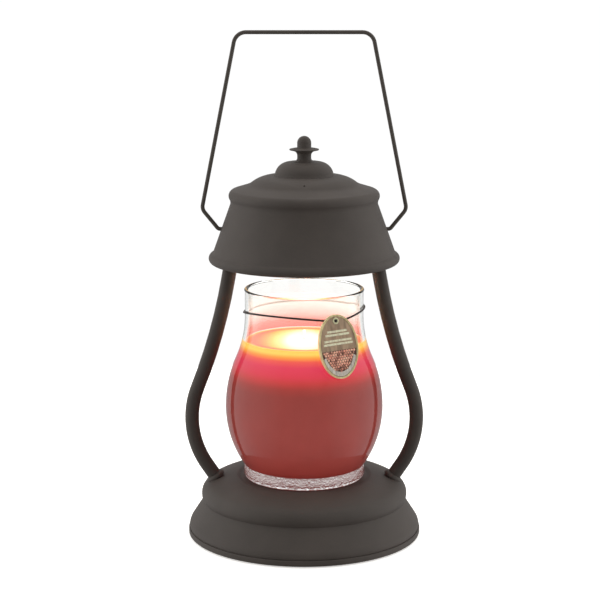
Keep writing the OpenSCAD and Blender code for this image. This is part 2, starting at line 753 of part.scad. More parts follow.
finial_path = [[0, 0], [waist_r + 1.7, 0], [waist_r + 1.5, 0.8], [waist_r + 0.4, 1.6], [waist_r, 3.2],
    [waist_r + 0.1, disc_up - 4], [waist_r + 0.8, disc_up - 2.4], [waist_r + 2.4, disc_up - 1.3],
    [disc_r - 0.6, disc_up - 0.6], [disc_r, disc_up - 0.1], [disc_r - 0.3, disc_up + 0.4],
    [ball_r + 2, disc_up + 1.1], [ball_r, disc_up + 1.6]];
ball_z = disc_up + 1.6 + ball_up;

module finial() color(bronze) translate([0, 0, top_z]) {
    spun(concat(finial_path, arc([0, ball_z], ball_r, 0, 90, 12)));
    translate([0, 0, -stud_len]) cylinder(h = stud_len + over, r = stud_r);
}

stud_len = hood_t + hanger_t + finial_nut_t + 0.3;

module finial_nut() color(zinc) translate([0, 0, top_z - hood_t - hanger_t - finial_nut_t])
    nut(finial_nut_t, 2 * stud_r, stud_r);

// ---- Bail ----

pivot_x = skirt_at(pivot_z) + 2.3;
wire_cap_x = skirt_at(pivot_z + wire_cap_r) - hood_t - 0.6 - wire_cap_t;
wire_end = wire_cap_x - 1;

// One half of the wire, from its end inside the hood to its upper corner
bail_half = [[wire_end, pivot_z], [pivot_x, pivot_z], [pivot_x + bail_out, pivot_z + bail_shoulder],
    [bail_bar, pivot_z + bail_h]];
bail_path = concat([for (q = bail_half) [-q[0], q[1]]], reversed(bail_half));
bend_half = [0, pivot_bend, bail_bend, bail_corner];
bail_bends = concat(bend_half, reversed(bend_half));

module bail() color(wire_black) rod(bail_path, bail_bends, wire_r);

module bail_caps() color(zinc) both_sides() translate([wire_cap_x, 0, pivot_z]) rotate([0, 90, 0])
    pipe(0, wire_cap_t, wire_cap_r, wire_r);

// ---- Bulb ----

face_z = seat_z - bulb_len;
bulb_neck_z = seat_z - bulb_base_h;
bulb_bowl = concat([[bulb_base_r - 1, bulb_neck_z]],
    [for (i = [1:10]) [bulb_base_r - 1 + (bulb_r - 0.8 - bulb_base_r + 1) * sin(9 * i),
        bulb_neck_z - (bulb_neck_z - face_z - bulb_rim_h) * (1 - cos(9 * i))]],
    [[bulb_r, face_z + bulb_rim_h - 0.8], [bulb_r, face_z + 0.4], [bulb_r - 0.4, face_z]]);

module bulb_reflector() color("#d8d4c8") spun(sheet(bulb_bowl, bulb_t));

module bulb_lens() color(clear_glass) translate([0, 0, face_z + 0.5])
    cylinder(h = lens_t, r = bulb_r - bulb_t - lay_gap);

// The sealed capsule in the middle of the reflector
module bulb_capsule() color(clear_glass) translate([0, 0, bulb_neck_z - capsule_h]) {
    cylinder(h = capsule_h, r = capsule_r);
    sphere(r = capsule_r);
}

module bulb_base() color(ceramic) translate([0, 0, bulb_neck_z]) difference() {
    cylinder(h = bulb_base_h, r = bulb_base_r);
    for (side = [-1, 1]) translate([side * pin_x, 0, bulb_base_h - pin_in])
        cylinder(h = pin_in + over, r = pin_r);
}

module bulb_pins() color(zinc) for (side = [-1, 1]) translate([side * pin_x, 0, seat_z]) {
    translate([0, 0, -pin_in]) cylinder(h = pin_in + holder_floor + pin_lift, r = pin_r);
    translate([0, 0, holder_floor + pin_lift]) cylinder(h = pin_head_h, r = pin_head);
}

// ---- Candle ----

crease_r = jar_foot_r + 0.3;
belly_z = floor_z + belly_up;
crease_z = floor_z + jar_foot_h;
low_drop = belly_r - crease_r;
low_rise = belly_z - crease_z;
low_curve = (low_rise * low_rise + low_drop * low_drop) / (2 * low_drop);
neck_drop = belly_r - jar_neck_r - belly_curve * (1 - cos(jar_slope));
neck_curve = neck_drop / (1 - cos(jar_slope));
jar_neck_z = belly_z + (belly_curve + neck_curve) * sin(jar_slope);
lip_round = glass_t / 2;

jar_path = concat(
    [[jar_foot_r - jar_corner, floor_z]],
    arc([jar_foot_r - jar_corner, floor_z + jar_corner], jar_corner, -75, 0, 5),
    [[jar_foot_r, crease_z - 1], [crease_r - 0.4, crease_z - 0.4]],
    arc([belly_r - low_curve, belly_z], low_curve, -asin(low_rise / low_curve), 0, 10),
    arc([belly_r - belly_curve, belly_z], belly_curve, jar_slope / 8, jar_slope, 7),
    arc([jar_neck_r + neck_curve, jar_neck_z], neck_curve, 180 + jar_slope * 7 / 8, 180, 7),
    [[jar_neck_r, rim_z - lip_round]]);

glass_in = [for (q = beside(reversed(jar_path), glass_t)) if (q[1] > floor_z + glass_floor + 3) q];
well_r = jar_foot_r - glass_t - 0.6;
jar_well = concat(glass_in, [[well_r, floor_z + glass_floor + 3], [well_r - 1, floor_z + glass_floor + 0.9],
    [well_r - 3, floor_z + glass_floor]]);
lip_c = [jar_neck_r + lip_flare - lip_round, rim_z - lip_round];

module jar() color(clear_glass) spun(concat([[0, floor_z]], jar_path, arc(lip_c, lip_round, 10, 170, 6),
    jar_well, [[0, floor_z + glass_floor]]));

wax_z = floor_z + glass_floor + wax_h;

module wax() color(wax_red) difference() {
    intersection() {
        spun(concat([[0, rim_z]], [for (q = jar_well) q - [wax_gap, -wax_gap]],
            [[0, floor_z + glass_floor + wax_gap]]));
        cylinder(h = wax_z, r = belly_r);
    }
    wick_tab_solid();
    translate([0, 0, floor_z + glass_floor]) cylinder(h = jar_h, r = wick_r);
}

module wick_tab_solid() translate([0, 0, floor_z + glass_floor + wax_gap]) {
    cylinder(h = wick_tab_t, r = tab_r);
    cylinder(h = tab_neck, r = wick_r + wick_tab_t);
}

module wick_tab() color(zinc) difference() {
    wick_tab_solid();
    translate([0, 0, floor_z + glass_floor + 2 * wax_gap]) cylinder(h = tab_neck + over, r = wick_r);
}

module wick() color("#e8dfcf") translate([0, 0, floor_z + glass_floor + 2 * wax_gap])
    cylinder(h = wax_h + wick_up, r = wick_r);

// ---- Band and tag ----

band_ring = jar_neck_r + band_r + 0.06;
band_z = floor_z + band_up;

// Puts a piece on the band at the tag's place, with -Y outwards
module on_band() translate([0, 0, band_z]) rotate([0, -band_tilt, 0]) rotate([0, 0, tag_angle])
    translate([0, -band_ring, 0]) children();

module neck_band() color(wire_black) translate([0, 0, band_z]) rotate([0, -band_tilt, 0])
    rotate_extrude() translate([band_ring, 0]) circle(r = band_r);

sleeve_in = band_r + loop_gap;
sleeve_r = sleeve_in + loop_t;
tag_back = sleeve_r + 0.3;

module tag_place() on_band() rotate([-tag_lean, 0, 0]) children();

module oval(w, h, t) rotate([90, 0, 0]) linear_extrude(height = t)
    polygon([for (i = [0:47]) [w / 2 * cos(7.5 * i), h / 2 * sin(7.5 * i)]]);

module tag_plate() color(brass) tag_place() rotate([0, -tag_roll, 0]) difference() {
    translate([0, -tag_back, eyelet_down - tag_len / 2]) difference() {
        oval(tag_w, tag_len, tag_t + tag_rim_t);
        translate([0, -tag_t, 0]) oval(tag_w - 2 * tag_rim_w, tag_len - 2 * tag_rim_w, tag_rim_t + over);
    }
    rotate([90, 0, 0]) cylinder(h = tag_back + 3 * tag_t, r = eyelet_r);
}

module tag_eyelet() color("#e6d27c") tag_place() rotate([90, 0, 0]) difference() {
    union() {
        translate([0, 0, tag_back - 0.25]) cylinder(h = tag_t + 0.65, r = eyelet_r);
        translate([0, 0, tag_back + tag_t]) cylinder(h = 0.4, r = eyelet_r + 0.6);
    }
    cylinder(h = tag_back + 3 * tag_t, r = eyelet_bore);
}

// The loop hooks round the band from below and stays clear of the glass as the tag swings out
hook_reach = 105;
hook_low = hook_reach + tag_lean;
hook_high = hook_reach - tag_lean - tag_swing;

module tag_loop() color(wire_black) tag_place() {
    rotate([0, 90, 0]) rotate([0, 0, 270 - hook_high]) rotate_extrude(angle = hook_low + hook_high)
        translate([sleeve_in, -loop_w / 2]) square([sleeve_r - sleeve_in, loop_w]);
    rotate([90, 0, 0]) translate([0, 0, sleeve_in + 0.2])
        cylinder(h = tag_back + tag_t + 0.5 - sleeve_in, r = eyelet_bore - 0.1);
    translate([0, -tag_back - tag_t - 1.1, 0]) sphere(r = eyelet_bore);
}

base_shell();
base_plate();
felt_pad();
screw_tabs();
base_screws();
cord_gland();
terminal_block();
lamp_lead();
arm_left();
arm_right();
arm_collar_left();
arm_collar_right();
foot_nipples();
foot_saddles();
foot_nuts();
top_nipples();
top_nuts();
lamp_bracket();
lampholder();
holder_contacts();
holder_screws();
shade_hanger();
hanger_rivets();
shade();
finial();
finial_nut();
bail();
bail_caps();
bulb_reflector();
bulb_lens();
bulb_capsule();
bulb_base();
bulb_pins();
jar();
wax();
wick();
wick_tab();
neck_band();
tag_plate();
tag_eyelet();
tag_loop();
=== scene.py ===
"""Builds the visible pieces, the finishes and the stage of a candle warmer lantern."""

import json
import math

import bpy
from mathutils import Matrix, Vector


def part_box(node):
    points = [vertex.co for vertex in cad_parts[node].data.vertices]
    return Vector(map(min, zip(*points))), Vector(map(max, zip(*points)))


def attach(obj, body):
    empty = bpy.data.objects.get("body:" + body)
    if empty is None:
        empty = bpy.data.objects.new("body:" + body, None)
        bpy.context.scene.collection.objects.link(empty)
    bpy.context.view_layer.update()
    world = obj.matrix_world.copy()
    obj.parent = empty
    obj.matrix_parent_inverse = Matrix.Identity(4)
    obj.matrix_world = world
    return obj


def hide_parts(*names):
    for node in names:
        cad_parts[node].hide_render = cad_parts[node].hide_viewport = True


bl_info = {
    "name": "Candle Warmer Lantern",
    "version": (1, 0, 0),
    "blender": (4, 5, 0),
    "location": "3D View > Sidebar > Lantern",
    "description": "Builds the pieces, finishes and stage of a candle warmer lantern",
    "category": "Object",
}

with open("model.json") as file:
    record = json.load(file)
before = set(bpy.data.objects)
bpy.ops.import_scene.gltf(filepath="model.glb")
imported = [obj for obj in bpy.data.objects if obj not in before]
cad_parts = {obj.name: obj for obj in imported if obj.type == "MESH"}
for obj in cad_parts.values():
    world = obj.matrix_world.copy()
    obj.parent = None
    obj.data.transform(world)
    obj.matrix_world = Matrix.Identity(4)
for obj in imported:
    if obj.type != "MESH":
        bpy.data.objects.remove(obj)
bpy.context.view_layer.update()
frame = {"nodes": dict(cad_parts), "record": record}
MM = 0.001

# Heights in millimetres, from the model's own parts
SEAT_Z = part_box("lampholder")[0].z / MM
WAX_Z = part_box("wax")[1].z / MM
RIM_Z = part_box("jar")[1].z / MM
HOOD_TOP_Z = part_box("shade")[1].z / MM

# More heights: the jar's recess, the handle's pivots and the elastic
FLOOR_Z = 46.0
PIVOT_Z = 243.9
BAND_Z = 178.9

# An arm in millimetres, each point a distance from the axis and a height
FOOT = (70.1, 44.32)
ARM_CORNERS = [(97.27, 84.62), (67.05, 160.2)]
ARM_TOP = (50.21, 256.0)
ARM_BENDS = [68, 440]
FOOT_LEAN = math.radians(34)
ARM_TOP_LEAN = math.radians(10)

# Other places in millimetres: the elastic's radius, the base screws' ring and the hood's vent
BAND_RING = 47.21
SCREW_RING = 80
SCREW_TURNS = [math.radians(a) for a in (150, 270, 30)]
VENT = (0, -38, 281)

# How far below the lamp holder the bulb's face and its neck are
BULB_DROP = 49
BULB_NECK_DROP = 8


def srgb(code):
    """Turns an sRGB hex colour into linear red, green, blue and full alpha."""
    values = [int(code[i : i + 2], 16) / 255 for i in (1, 3, 5)]
    linear = [v / 12.92 if v <= 0.04045 else ((v + 0.055) / 1.055) ** 2.4 for v in values]
    return (*linear, 1.0)


# ---- Sizes and colours that a user can change ----


class LanternSizes(bpy.types.PropertyGroup):
    """Sizes of the lantern's sheet, tube, wire, glass and surface grain."""

    base_wall: bpy.props.FloatProperty(
        name="Base sheet", description="Thickness of the spun base", default=1.2 * MM, unit="LENGTH"
    )
    hood_wall: bpy.props.FloatProperty(
        name="Hood sheet", description="Thickness of the spun hood", default=0.9 * MM, unit="LENGTH"
    )
    glass_wall: bpy.props.FloatProperty(
        name="Glass", description="Thickness of the jar's wall", default=2.6 * MM, unit="LENGTH"
    )
    tube_radius: bpy.props.FloatProperty(
        name="Arm tube", description="Radius of the arm tubes", default=5.5 * MM, unit="LENGTH"
    )
    wire_radius: bpy.props.FloatProperty(
        name="Handle wire", description="Radius of the handle's wire", default=1.55 * MM, unit="LENGTH"
    )
    band_radius: bpy.props.FloatProperty(
        name="Elastic", description="Radius of the elastic cord", default=0.75 * MM, unit="LENGTH"
    )
    vent_radius: bpy.props.FloatProperty(
        name="Vent", description="Radius of the hood's vent hole", default=0.8 * MM, unit="LENGTH"
    )
    coat_grain: bpy.props.FloatProperty(
        name="Coat grain", description="Grain width of the powder coat", default=1.1 * MM, unit="LENGTH"
    )
    stipple: bpy.props.FloatProperty(
        name="Stipple", description="Width of the heel's dimples", default=1.9 * MM, unit="LENGTH"
    )
    bead_radius: bpy.props.FloatProperty(
        name="Tag beads", description="Radius of the beads on the tag", default=1.0 * MM, unit="LENGTH"
    )


class LanternColours(bpy.types.PropertyGroup):
    """Colours of the lantern's finishes."""

    coat: bpy.props.FloatVectorProperty(
        name="Powder coat", description="Coat of the body", default=srgb("#4A423C"), size=4, subtype="COLOR"
    )
    wire: bpy.props.FloatVectorProperty(
        name="Handle wire", description="Paint on the wire", default=srgb("#4E4740"), size=4, subtype="COLOR"
    )
    wax: bpy.props.FloatVectorProperty(
        name="Wax", description="Dyed candle wax", default=srgb("#8E3A34"), size=4, subtype="COLOR"
    )
    glass: bpy.props.FloatVectorProperty(
        name="Glass", description="Tint of the jar", default=srgb("#FBFCFA"), size=4, subtype="COLOR"
    )
    elastic: bpy.props.FloatVectorProperty(
        name="Elastic", description="Covered elastic cord", default=srgb("#2E2420"), size=4, subtype="COLOR"
    )
    tag_gold: bpy.props.FloatVectorProperty(
        name="Tag rim", description="Gilt rim of the tag", default=srgb("#F2DBA6"), size=4, subtype="COLOR"
    )
    tag_lacquer: bpy.props.FloatVectorProperty(
        name="Tag lacquer", description="Brown field on it", default=srgb("#B89C80"), size=4, subtype="COLOR"
    )
    tag_bead: bpy.props.FloatVectorProperty(
        name="Tag beads", description="Beads on the tag", default=srgb("#EFA58C"), size=4, subtype="COLOR"
    )
    lamplight: bpy.props.FloatVectorProperty(
        name="Lamplight", description="Light of the lamp", default=srgb("#FFE3BC"), size=4, subtype="COLOR"
    )


# ---- Outlines, in millimetres: distance from the axis, height ----


def arc(centre, radius, first, last, steps=16):
    """Points of an arc, from one angle to another in degrees."""
    turns = [math.radians(first + (last - first) * i / steps) for i in range(steps + 1)]
    return [(centre[0] + radius * math.cos(a), centre[1] + radius * math.sin(a)) for a in turns]


def beside(outline, gap):
    """The outline moved by gap to its own right."""
    moved = []
    for i, (r, z) in enumerate(outline):
        before, after = outline[max(i - 1, 0)], outline[min(i + 1, len(outline) - 1)]
        way = (Vector(after) - Vector(before)).normalized()
        moved.append((r + gap * way.y, z - gap * way.x))
    return moved


def base_outline():
    """The outside of the base, from its axis down to its rim."""
    seat_r, width, rise, steps = 49.5, 4.5, 0.65, 12
    slope = [
        (seat_r + width * i / steps, FLOOR_Z + rise * (1 - math.cos(math.pi * i / steps)))
        for i in range(steps + 1)
    ]
    return (
        [(0, FLOOR_Z), (25, FLOOR_Z)]
        + slope
        + arc((54, 2.3), 45, 87, 60)
        + arc((71.5, 32.61), 10, 54, -30, 20)
        + [(80.72, 26.2), (81.3, 25.25)]
        + arc((82.3, 7), 9, 34, 0)
        + [(91.0, 5.7), (90.6, 5.3), (90.6, 4.6)]
    )


def rim_outline():
    """The base's bottom plate with its rolled edge."""
    under = [(0, 3.2), (90.8, 3.2), (90.8, 1.2), (91.1, 0.85), (91.5, 0.95), (91.85, 1.25), (92, 1.7)]
    roll = [(92, 4.7), (91.9, 5.15), (91.6, 5.42), (91.2, 5.5), (90.95, 5.42), (90.8, 5.2), (90.8, 4.4)]
    return under + roll + [(0, 4.4)]


def felt_outline():
    """The felt under the plate, with a rounded edge."""
    return [(0, 0), (85.2, 0), (85.7, 0.25), (86, 0.8), (86, 2.7), (85.8, 3.1), (85.2, 3.2), (0, 3.2)]


def collar_outline():
    """A sleeve round the foot of an arm with a rounded flange, closed on itself."""
    sleeve = [(5.5, 3.2), (5.5, -5.2), (6.2, -5.2), (6.3, -0.6)]
    flange = [(7.1, -0.45), (7.5, -0.1), (7.6, 0.6), (7.5, 1.4), (7.1, 2.2), (6.5, 2.8), (6.0, 3.1)]
    return sleeve + flange + sleeve[:1]


def hood_outline():
    """The outside of the hood, from its stud hole down and round its bead."""
    return (
        [(2.15, HOOD_TOP_Z), (7, HOOD_TOP_Z)]
        + arc((11.6, HOOD_TOP_Z - 11.2), 11.2, 90, 12, 20)
        + [(23.47, 285.75)]
        + arc((25, 259.6), 26, 89, 49, 20)
        + [(44.9, 278), (47.1, 277.2)]
        + arc((53.5, 270), 5, 72, -38, 20)
        + [(57.1, 265), (57.2, 263.7), (70.69, 226.25)]
        + arc((70.5, 221.5), 3.8, 72, -170, 36)
    )


def finial_outline():
    """The finial, from its stud inside the hood up over its foot, waist, disc and ball."""
    stud = [(0, -5.8), (2, -5.8), (2, 0)]
    foot = [(7.1, 0), (7.1, 0.35), (6.9, 0.8), (6.3, 1.15), (5.8, 1.6), (5.5, 2.3), (5.4, 3.2)]
    waist = [(5.42, 4.4), (5.5, 5.5), (5.75, 6.4), (6.2, 7.1), (6.85, 7.7), (7.8, 8.2), (9.4, 8.65)]
    disc = [(10.9, 8.9), (11.35, 9.1), (11.5, 9.4), (11.45, 9.7), (11.2, 9.9), (9.2, 10.35), (7.45, 10.6)]
    neck = [(6.2, 10.75), (5.65, 10.95), (5.45, 11.3)]
    ball = arc((0, 14.5), 5.45, 0, 90, 20)
    return [(r, z + HOOD_TOP_Z) for r, z in stud + foot + waist + disc + neck + ball]


def bowl_outline():
    """The bulb's reflector, from its neck down to its rim."""
    neck, face = SEAT_Z - BULB_NECK_DROP, SEAT_Z - BULB_DROP
    drop = neck - face - 6
    turns = [math.radians(a) for a in range(0, 91, 5)]
    bowl = [(9 + 15.2 * math.sin(a), neck - drop * (1 - math.cos(a))) for a in turns]
    return bowl + [(25, face + 5.2), (25, face + 0.4), (24.6, face)]


def lens_outline():
    """The bulb's front lens, a thin domed disc."""
    dome = [(0, 0.5), (16, 0.55), (22.4, 0.8), (23.2, 1.1), (23.4, 1.6), (23.4, 2.0), (0, 2.0)]
    return [(r, SEAT_Z - BULB_DROP + z) for r, z in dome]


def jar_outline():
    """The outside of the jar, from its heel up to its lip."""
    crease, belly, neck, slope = 47.9, 62.0, 46.4, 24
    belly_z, crease_z = 103.3, 57.5
    low = ((belly_z - crease_z) ** 2 + (belly - crease) ** 2) / (2 * (belly - crease))
    low_turn = math.degrees(math.asin((belly_z - crease_z) / low))
    high = 96
    fall = 1 - math.cos(math.radians(slope))
    back = (belly - neck - high * fall) / fall
    neck_z = belly_z + (high + back) * math.sin(math.radians(slope))
    return (
        arc((44.1, 49.5), 3.5, -75, 0, 8)
        + [(47.6, 53.5), (47.6, 56.4), (47.5, 57.1)]
        + arc((belly - low, belly_z), low, -low_turn, 0, 24)
        + arc((belly - high, belly_z), high, 2, slope, 14)
        + arc((neck + back, neck_z), back, 180 + slope - 2, 180, 14)
        + [(neck, 186), (neck, RIM_Z - 1.3)]
    )


def jar_well(gap):
    """The inside of the jar, gap inside its outer face, from the lip down to its floor."""
    inside = [p for p in beside(jar_outline()[::-1], gap) if p[1] > 58]
    floor_z = 55 + gap - 2.6
    return inside + [(47 - gap, 58), (46 - gap, 55.9), (44 - gap, floor_z), (0, floor_z)]


# ---- Modelling by operators ----


def select_none():
    """Leaves edit mode and deselects everything."""
    if bpy.context.mode != "OBJECT":
        bpy.ops.object.mode_set(mode="OBJECT")
    bpy.ops.object.select_all(action="DESELECT")


def pick(piece):
    """Selects one piece alone and makes it active."""
    select_none()
    piece.select_set(True)
    bpy.context.view_layer.objects.active = piece


def open_mesh(name):
    """An empty mesh object at the origin, open in edit mode."""
    select_none()
    bpy.ops.mesh.primitive_plane_add(location=(0, 0, 0))
    piece = bpy.context.object
    piece.name = piece.data.name = name
    bpy.ops.object.mode_set(mode="EDIT")
    bpy.ops.mesh.select_mode(type="VERT")
    bpy.ops.mesh.select_all(action="SELECT")
    bpy.ops.mesh.delete(type="VERT")
    return piece


def draw(points):
    """A line of edges from point to point, all selected at the end."""
    bpy.ops.mesh.primitive_circle_add(vertices=3, radius=MM, location=points[0])
    bpy.ops.mesh.merge(type="CENTER")
    for here, there in zip(points, points[1:]):
        bpy.ops.mesh.extrude_vertices_move(TRANSFORM_OT_translate={"value": there - here})
    bpy.ops.mesh.select_all(action="SELECT")


def extrude(way):
    """Extrudes what is selected along a vector."""
    bpy.ops.mesh.extrude_region_move(TRANSFORM_OT_translate={"value": way})


def fill_ends():
    """Fills every open end of the mesh that is being edited."""
    bpy.ops.mesh.select_mode(type="EDGE")
    bpy.ops.mesh.select_all(action="DESELECT")
    bpy.ops.mesh.select_non_manifold()
    bpy.ops.mesh.fill_holes(sides=0)
    bpy.ops.mesh.select_mode(type="VERT")


def close_mesh(piece, sharp=30):
    """Merges doubles, turns the faces outwards and shades the piece smooth up to an angle."""
    bpy.ops.mesh.select_all(action="SELECT")
    bpy.ops.mesh.remove_doubles(threshold=0.005 * MM)
    bpy.ops.mesh.normals_make_consistent(inside=False)
    pick(piece)
    bpy.ops.object.shade_smooth_by_angle(angle=math.radians(sharp))
    return piece


def apply(piece, kind, **settings):
    """Adds a modifier with its settings and applies it."""
    pick(piece)
    modifier = piece.modifiers.new(kind.title(), kind)
    for key, value in settings.items():
        setattr(modifier, key, value)
    bpy.ops.object.modifier_apply(modifier=modifier.name)


def lathe(name, outline, steps=144, wall=0.0, sharp=30):
    """Spins an outline round Z, closes its seam and poles, and gives an open shell its wall."""
    piece = open_mesh(name)
    draw([Vector((r, 0, z)) * MM for r, z in outline])
    bpy.ops.mesh.spin(steps=steps, angle=math.tau, center=(0, 0, 0), axis=(0, 0, 1))
    close_mesh(piece, sharp)
    if wall:
        apply(piece, "SOLIDIFY", thickness=wall, offset=-1, use_even_offset=True, use_quality_normals=True)
        bpy.ops.object.shade_smooth_by_angle(angle=math.radians(sharp))
    return piece


def bent_rod(name, corners, bends, radius, sides=32):
    """A round rod along corners in the XZ plane, in millimetres, bent round each corner."""
    piece = open_mesh(name)
    corners = [Vector((x, 0, z)) * MM for x, z in corners]
    place, way = corners[0], (corners[1] - corners[0]).normalized()
    bpy.ops.mesh.primitive_circle_add(
        vertices=sides, radius=radius, location=place, rotation=(0, math.atan2(way.x, way.z), 0)
    )
    for i in range(1, len(corners)):
        way = (corners[i] - corners[i - 1]).normalized()
        after = (corners[i + 1] - corners[i]).normalized() if i + 1 < len(corners) else way
        bend, turn = bends[i] * MM, way.angle(after)
        stop = corners[i] - bend * math.tan(turn / 2) * way
        extrude(stop - place)
        if i + 1 == len(corners):
            break
        hand = 1 if way.x * after.z > way.z * after.x else -1
        middle = stop + hand * bend * Vector((-way.z, 0, way.x))
        steps = max(6, round(math.degrees(turn) / 3))
        bpy.ops.mesh.spin(steps=steps, angle=hand * turn, center=middle, axis=(0, 1, 0))
        place = corners[i] + bend * math.tan(turn / 2) * after
    bpy.ops.mesh.select_all(action="SELECT")
    bpy.ops.mesh.remove_doubles(threshold=0.005 * MM)
    fill_ends()
    return close_mesh(piece)


def mirrored(piece, name):
    """A copy of a piece on the other side of the lantern, with a mesh of its own."""
    pick(piece)
    bpy.ops.object.duplicate()
    twin = bpy.context.object
    twin.name = twin.data.name = name
    bpy.ops.object.mode_set(mode="EDIT")
    bpy.ops.mesh.select_all(action="SELECT")
    bpy.ops.transform.resize(value=(-1, 1, 1), center_override=(0, 0, 0))
    return close_mesh(twin)


def drill(piece, places, radius, depth, rotation=(0, 0, 0)):
    """Cuts a round hole at each place, given in millimetres."""
    for place in places:
        select_none()
        bpy.ops.mesh.primitive_cylinder_add(
            vertices=32, radius=radius, depth=depth, location=Vector(place) * MM, rotation=rotation
        )
        cutter = bpy.context.object
        apply(piece, "BOOLEAN", object=cutter, operation="DIFFERENCE", solver="EXACT")
        bpy.data.objects.remove(cutter)
    bpy.ops.object.shade_smooth_by_angle(angle=math.radians(30))


def put(piece, place):
    """Moves a piece's mesh by a matrix and leaves its object at the origin."""
    pick(piece)
    piece.matrix_world = place
    bpy.ops.object.transform_apply(location=True, rotation=True, scale=True)


def settle(piece, body, slot, finishes, *nodes):
    """Gives a finished piece its materials and its body, and hides the nodes it stands for. The slot is not
    used.
    """
    piece.data.materials.clear()
    for finish in finishes:
        piece.data.materials.append(finish)
    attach(piece, body)
    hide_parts(*nodes)


def turned(degrees, axis):
    """A rotation matrix about one axis."""
    return Matrix.Rotation(math.radians(degrees), 4, axis)


# The elastic's middle and tilt, the eyelet's place on it, and the tag, a little askew
BAND_PLACE = Matrix.Translation((0, 0, BAND_Z * MM)) @ turned(-1.4, "Y")
HOOK_PLACE = BAND_PLACE @ turned(28, "Z") @ Matrix.Translation((0, -BAND_RING * MM, 0)) @ turned(-10.8, "X")
TAG_PLACE = HOOK_PLACE @ turned(-0.7, "Y")

# The tag in its own millimetres: its middle, the half sizes of its oval, its back, its face,
# and the height where its brown field ends
TAG_MIDDLE = -19.7
TAG_HALF = (16.75, 24.5)
TAG_BACK = -1.75
TAG_FACE = -3.35
TAG_FIELD = -22.5


# ---- Materials ----


def add(tree, kind, sockets=None, stops=None, **settings):
    """Adds a shader node, sets it up, and fills or links its sockets."""
    node = tree.nodes.new("ShaderNode" + kind)
    for key, value in settings.items():
        setattr(node, key, value)
    if stops:
        ends = node.color_ramp.elements
        ends[0].position, ends[0].color = stops[0]
        ends[1].position, ends[1].color = stops[-1]
        for place, colour in stops[1:-1]:
            ends.new(place).color = colour
    for key, value in (sockets or {}).items():
        if isinstance(value, bpy.types.NodeSocket):
            tree.links.new(value, node.inputs[key])
        else:
            node.inputs[key].default_value = value
    return node


def open_material(name):
    """A material with an empty tree, and its Object coordinates."""
    finish = bpy.data.materials.new(name)
    finish.use_nodes = True
    tree = finish.node_tree
    tree.nodes.clear()
    return finish, tree, add(tree, "TexCoord").outputs["Object"]


def surface_of(tree, colour, roughness, **sockets):
    """A principled surface; the other sockets' names have _ for a space."""
    named = {name.replace("_", " "): value for name, value in sockets.items()}
    return add(tree, "BsdfPrincipled", {"Base Color": colour, "Roughness": roughness, **named})


def skin(tree, colour, roughness, **sockets):
    """Ends a tree with one principled surface."""
    surface = surface_of(tree, colour, roughness, **sockets)
    add(tree, "OutputMaterial", {"Surface": surface.outputs[0]})


def glass_skin(tree, colour, roughness, **sockets):
    """Ends a tree with glass that lets light fall through onto what stands behind."""
    surface = surface_of(tree, colour, roughness, IOR=1.5, Transmission_Weight=1.0, **sockets)
    open_air = add(tree, "BsdfTransparent")
    shadow = add(tree, "LightPath").outputs["Is Shadow Ray"]
    either = add(tree, "MixShader", {0: shadow, 1: surface.outputs[0], 2: open_air.outputs[0]})
    add(tree, "OutputMaterial", {"Surface": either.outputs[0]})


def noise(tree, where, width, detail, **sockets):
    """Soft noise with spots about width across."""
    spots = add(tree, "TexNoise", {"Vector": where, "Scale": 1 / width, "Detail": detail, **sockets})
    return spots.outputs["Fac"]


def cells(tree, where, width, randomness=1.0):
    """Round cells about width across."""
    return add(tree, "TexVoronoi", {"Vector": where, "Scale": 1 / width, "Randomness": randomness})


def relief(tree, height, strength, depth, **sockets):
    """A surface normal that follows a height texture."""
    bump = add(tree, "Bump", {"Height": height, "Strength": strength, "Distance": depth, **sockets})
    return bump.outputs["Normal"]


def maths(tree, operation, first, second):
    """The result of one operation on two values."""
    return add(tree, "Math", {0: first, 1: second}, operation=operation).outputs[0]


def fitted(tree, value, low, high, first=0.0, last=1.0):
    """A value brought from the range low to high into the range first to last, and held there."""
    sockets = {"Value": value, "From Min": low, "From Max": high, "To Min": first, "To Max": last}
    return add(tree, "MapRange", sockets).outputs["Result"]


def distance(tree, where, scale, shift=(0, 0, 0)):
    """The distance from the origin once the axes are scaled and shifted."""
    mapped = add(tree, "Mapping", {"Vector": where, "Location": shift, "Scale": scale})
    return add(tree, "VectorMath", {0: mapped.outputs[0]}, operation="LENGTH").outputs["Value"]


def ramp(tree, share, stops):
    """The colour at a share of the way along a list of stops."""
    return add(tree, "ValToRGB", {"Fac": share}, stops).outputs["Color"]


def greys(tree, share, stops):
    """A ramp whose stops are levels of grey."""
    return ramp(tree, share, [(place, (grey, grey, grey, 1)) for place, grey in stops])


def shade(colour, factor):
    """A colour made lighter or darker by a factor."""
    return (*[min(1.0, c * factor) for c in colour[:3]], 1.0)


def tones(tree, share, colour, dark, light, ends=(0.3, 0.7)):
    """A colour that varies from a dark to a light shade of itself."""
    return ramp(tree, share, [(ends[0], shade(colour, dark)), (ends[1], shade(colour, light))])


def powder_coat(name, colour, grain):
    """Matt textured polyester powder coat on steel."""
    # A dull, even skin with a fine grain: broad soft highlights and no sharp reflections.
    # Its real grain of 0.3 mm is drawn wider, so that it shows.
    finish, tree, where = open_material(name)
    fine = noise(tree, where, grain, 3.0, Roughness=0.6)
    broad = noise(tree, where, 28 * MM, 2.0)
    both = maths(tree, "MULTIPLY", maths(tree, "ADD", fine, broad), 0.5)
    tone = tones(tree, both, colour, 0.86, 1.14, ends=(0.32, 0.68))
    dull = fitted(tree, fine, 0.3, 0.7, 0.56, 0.68)
    skin(tree, tone, dull, IOR=1.5, Normal=relief(tree, fine, 0.35, 0.12 * MM))
    return finish


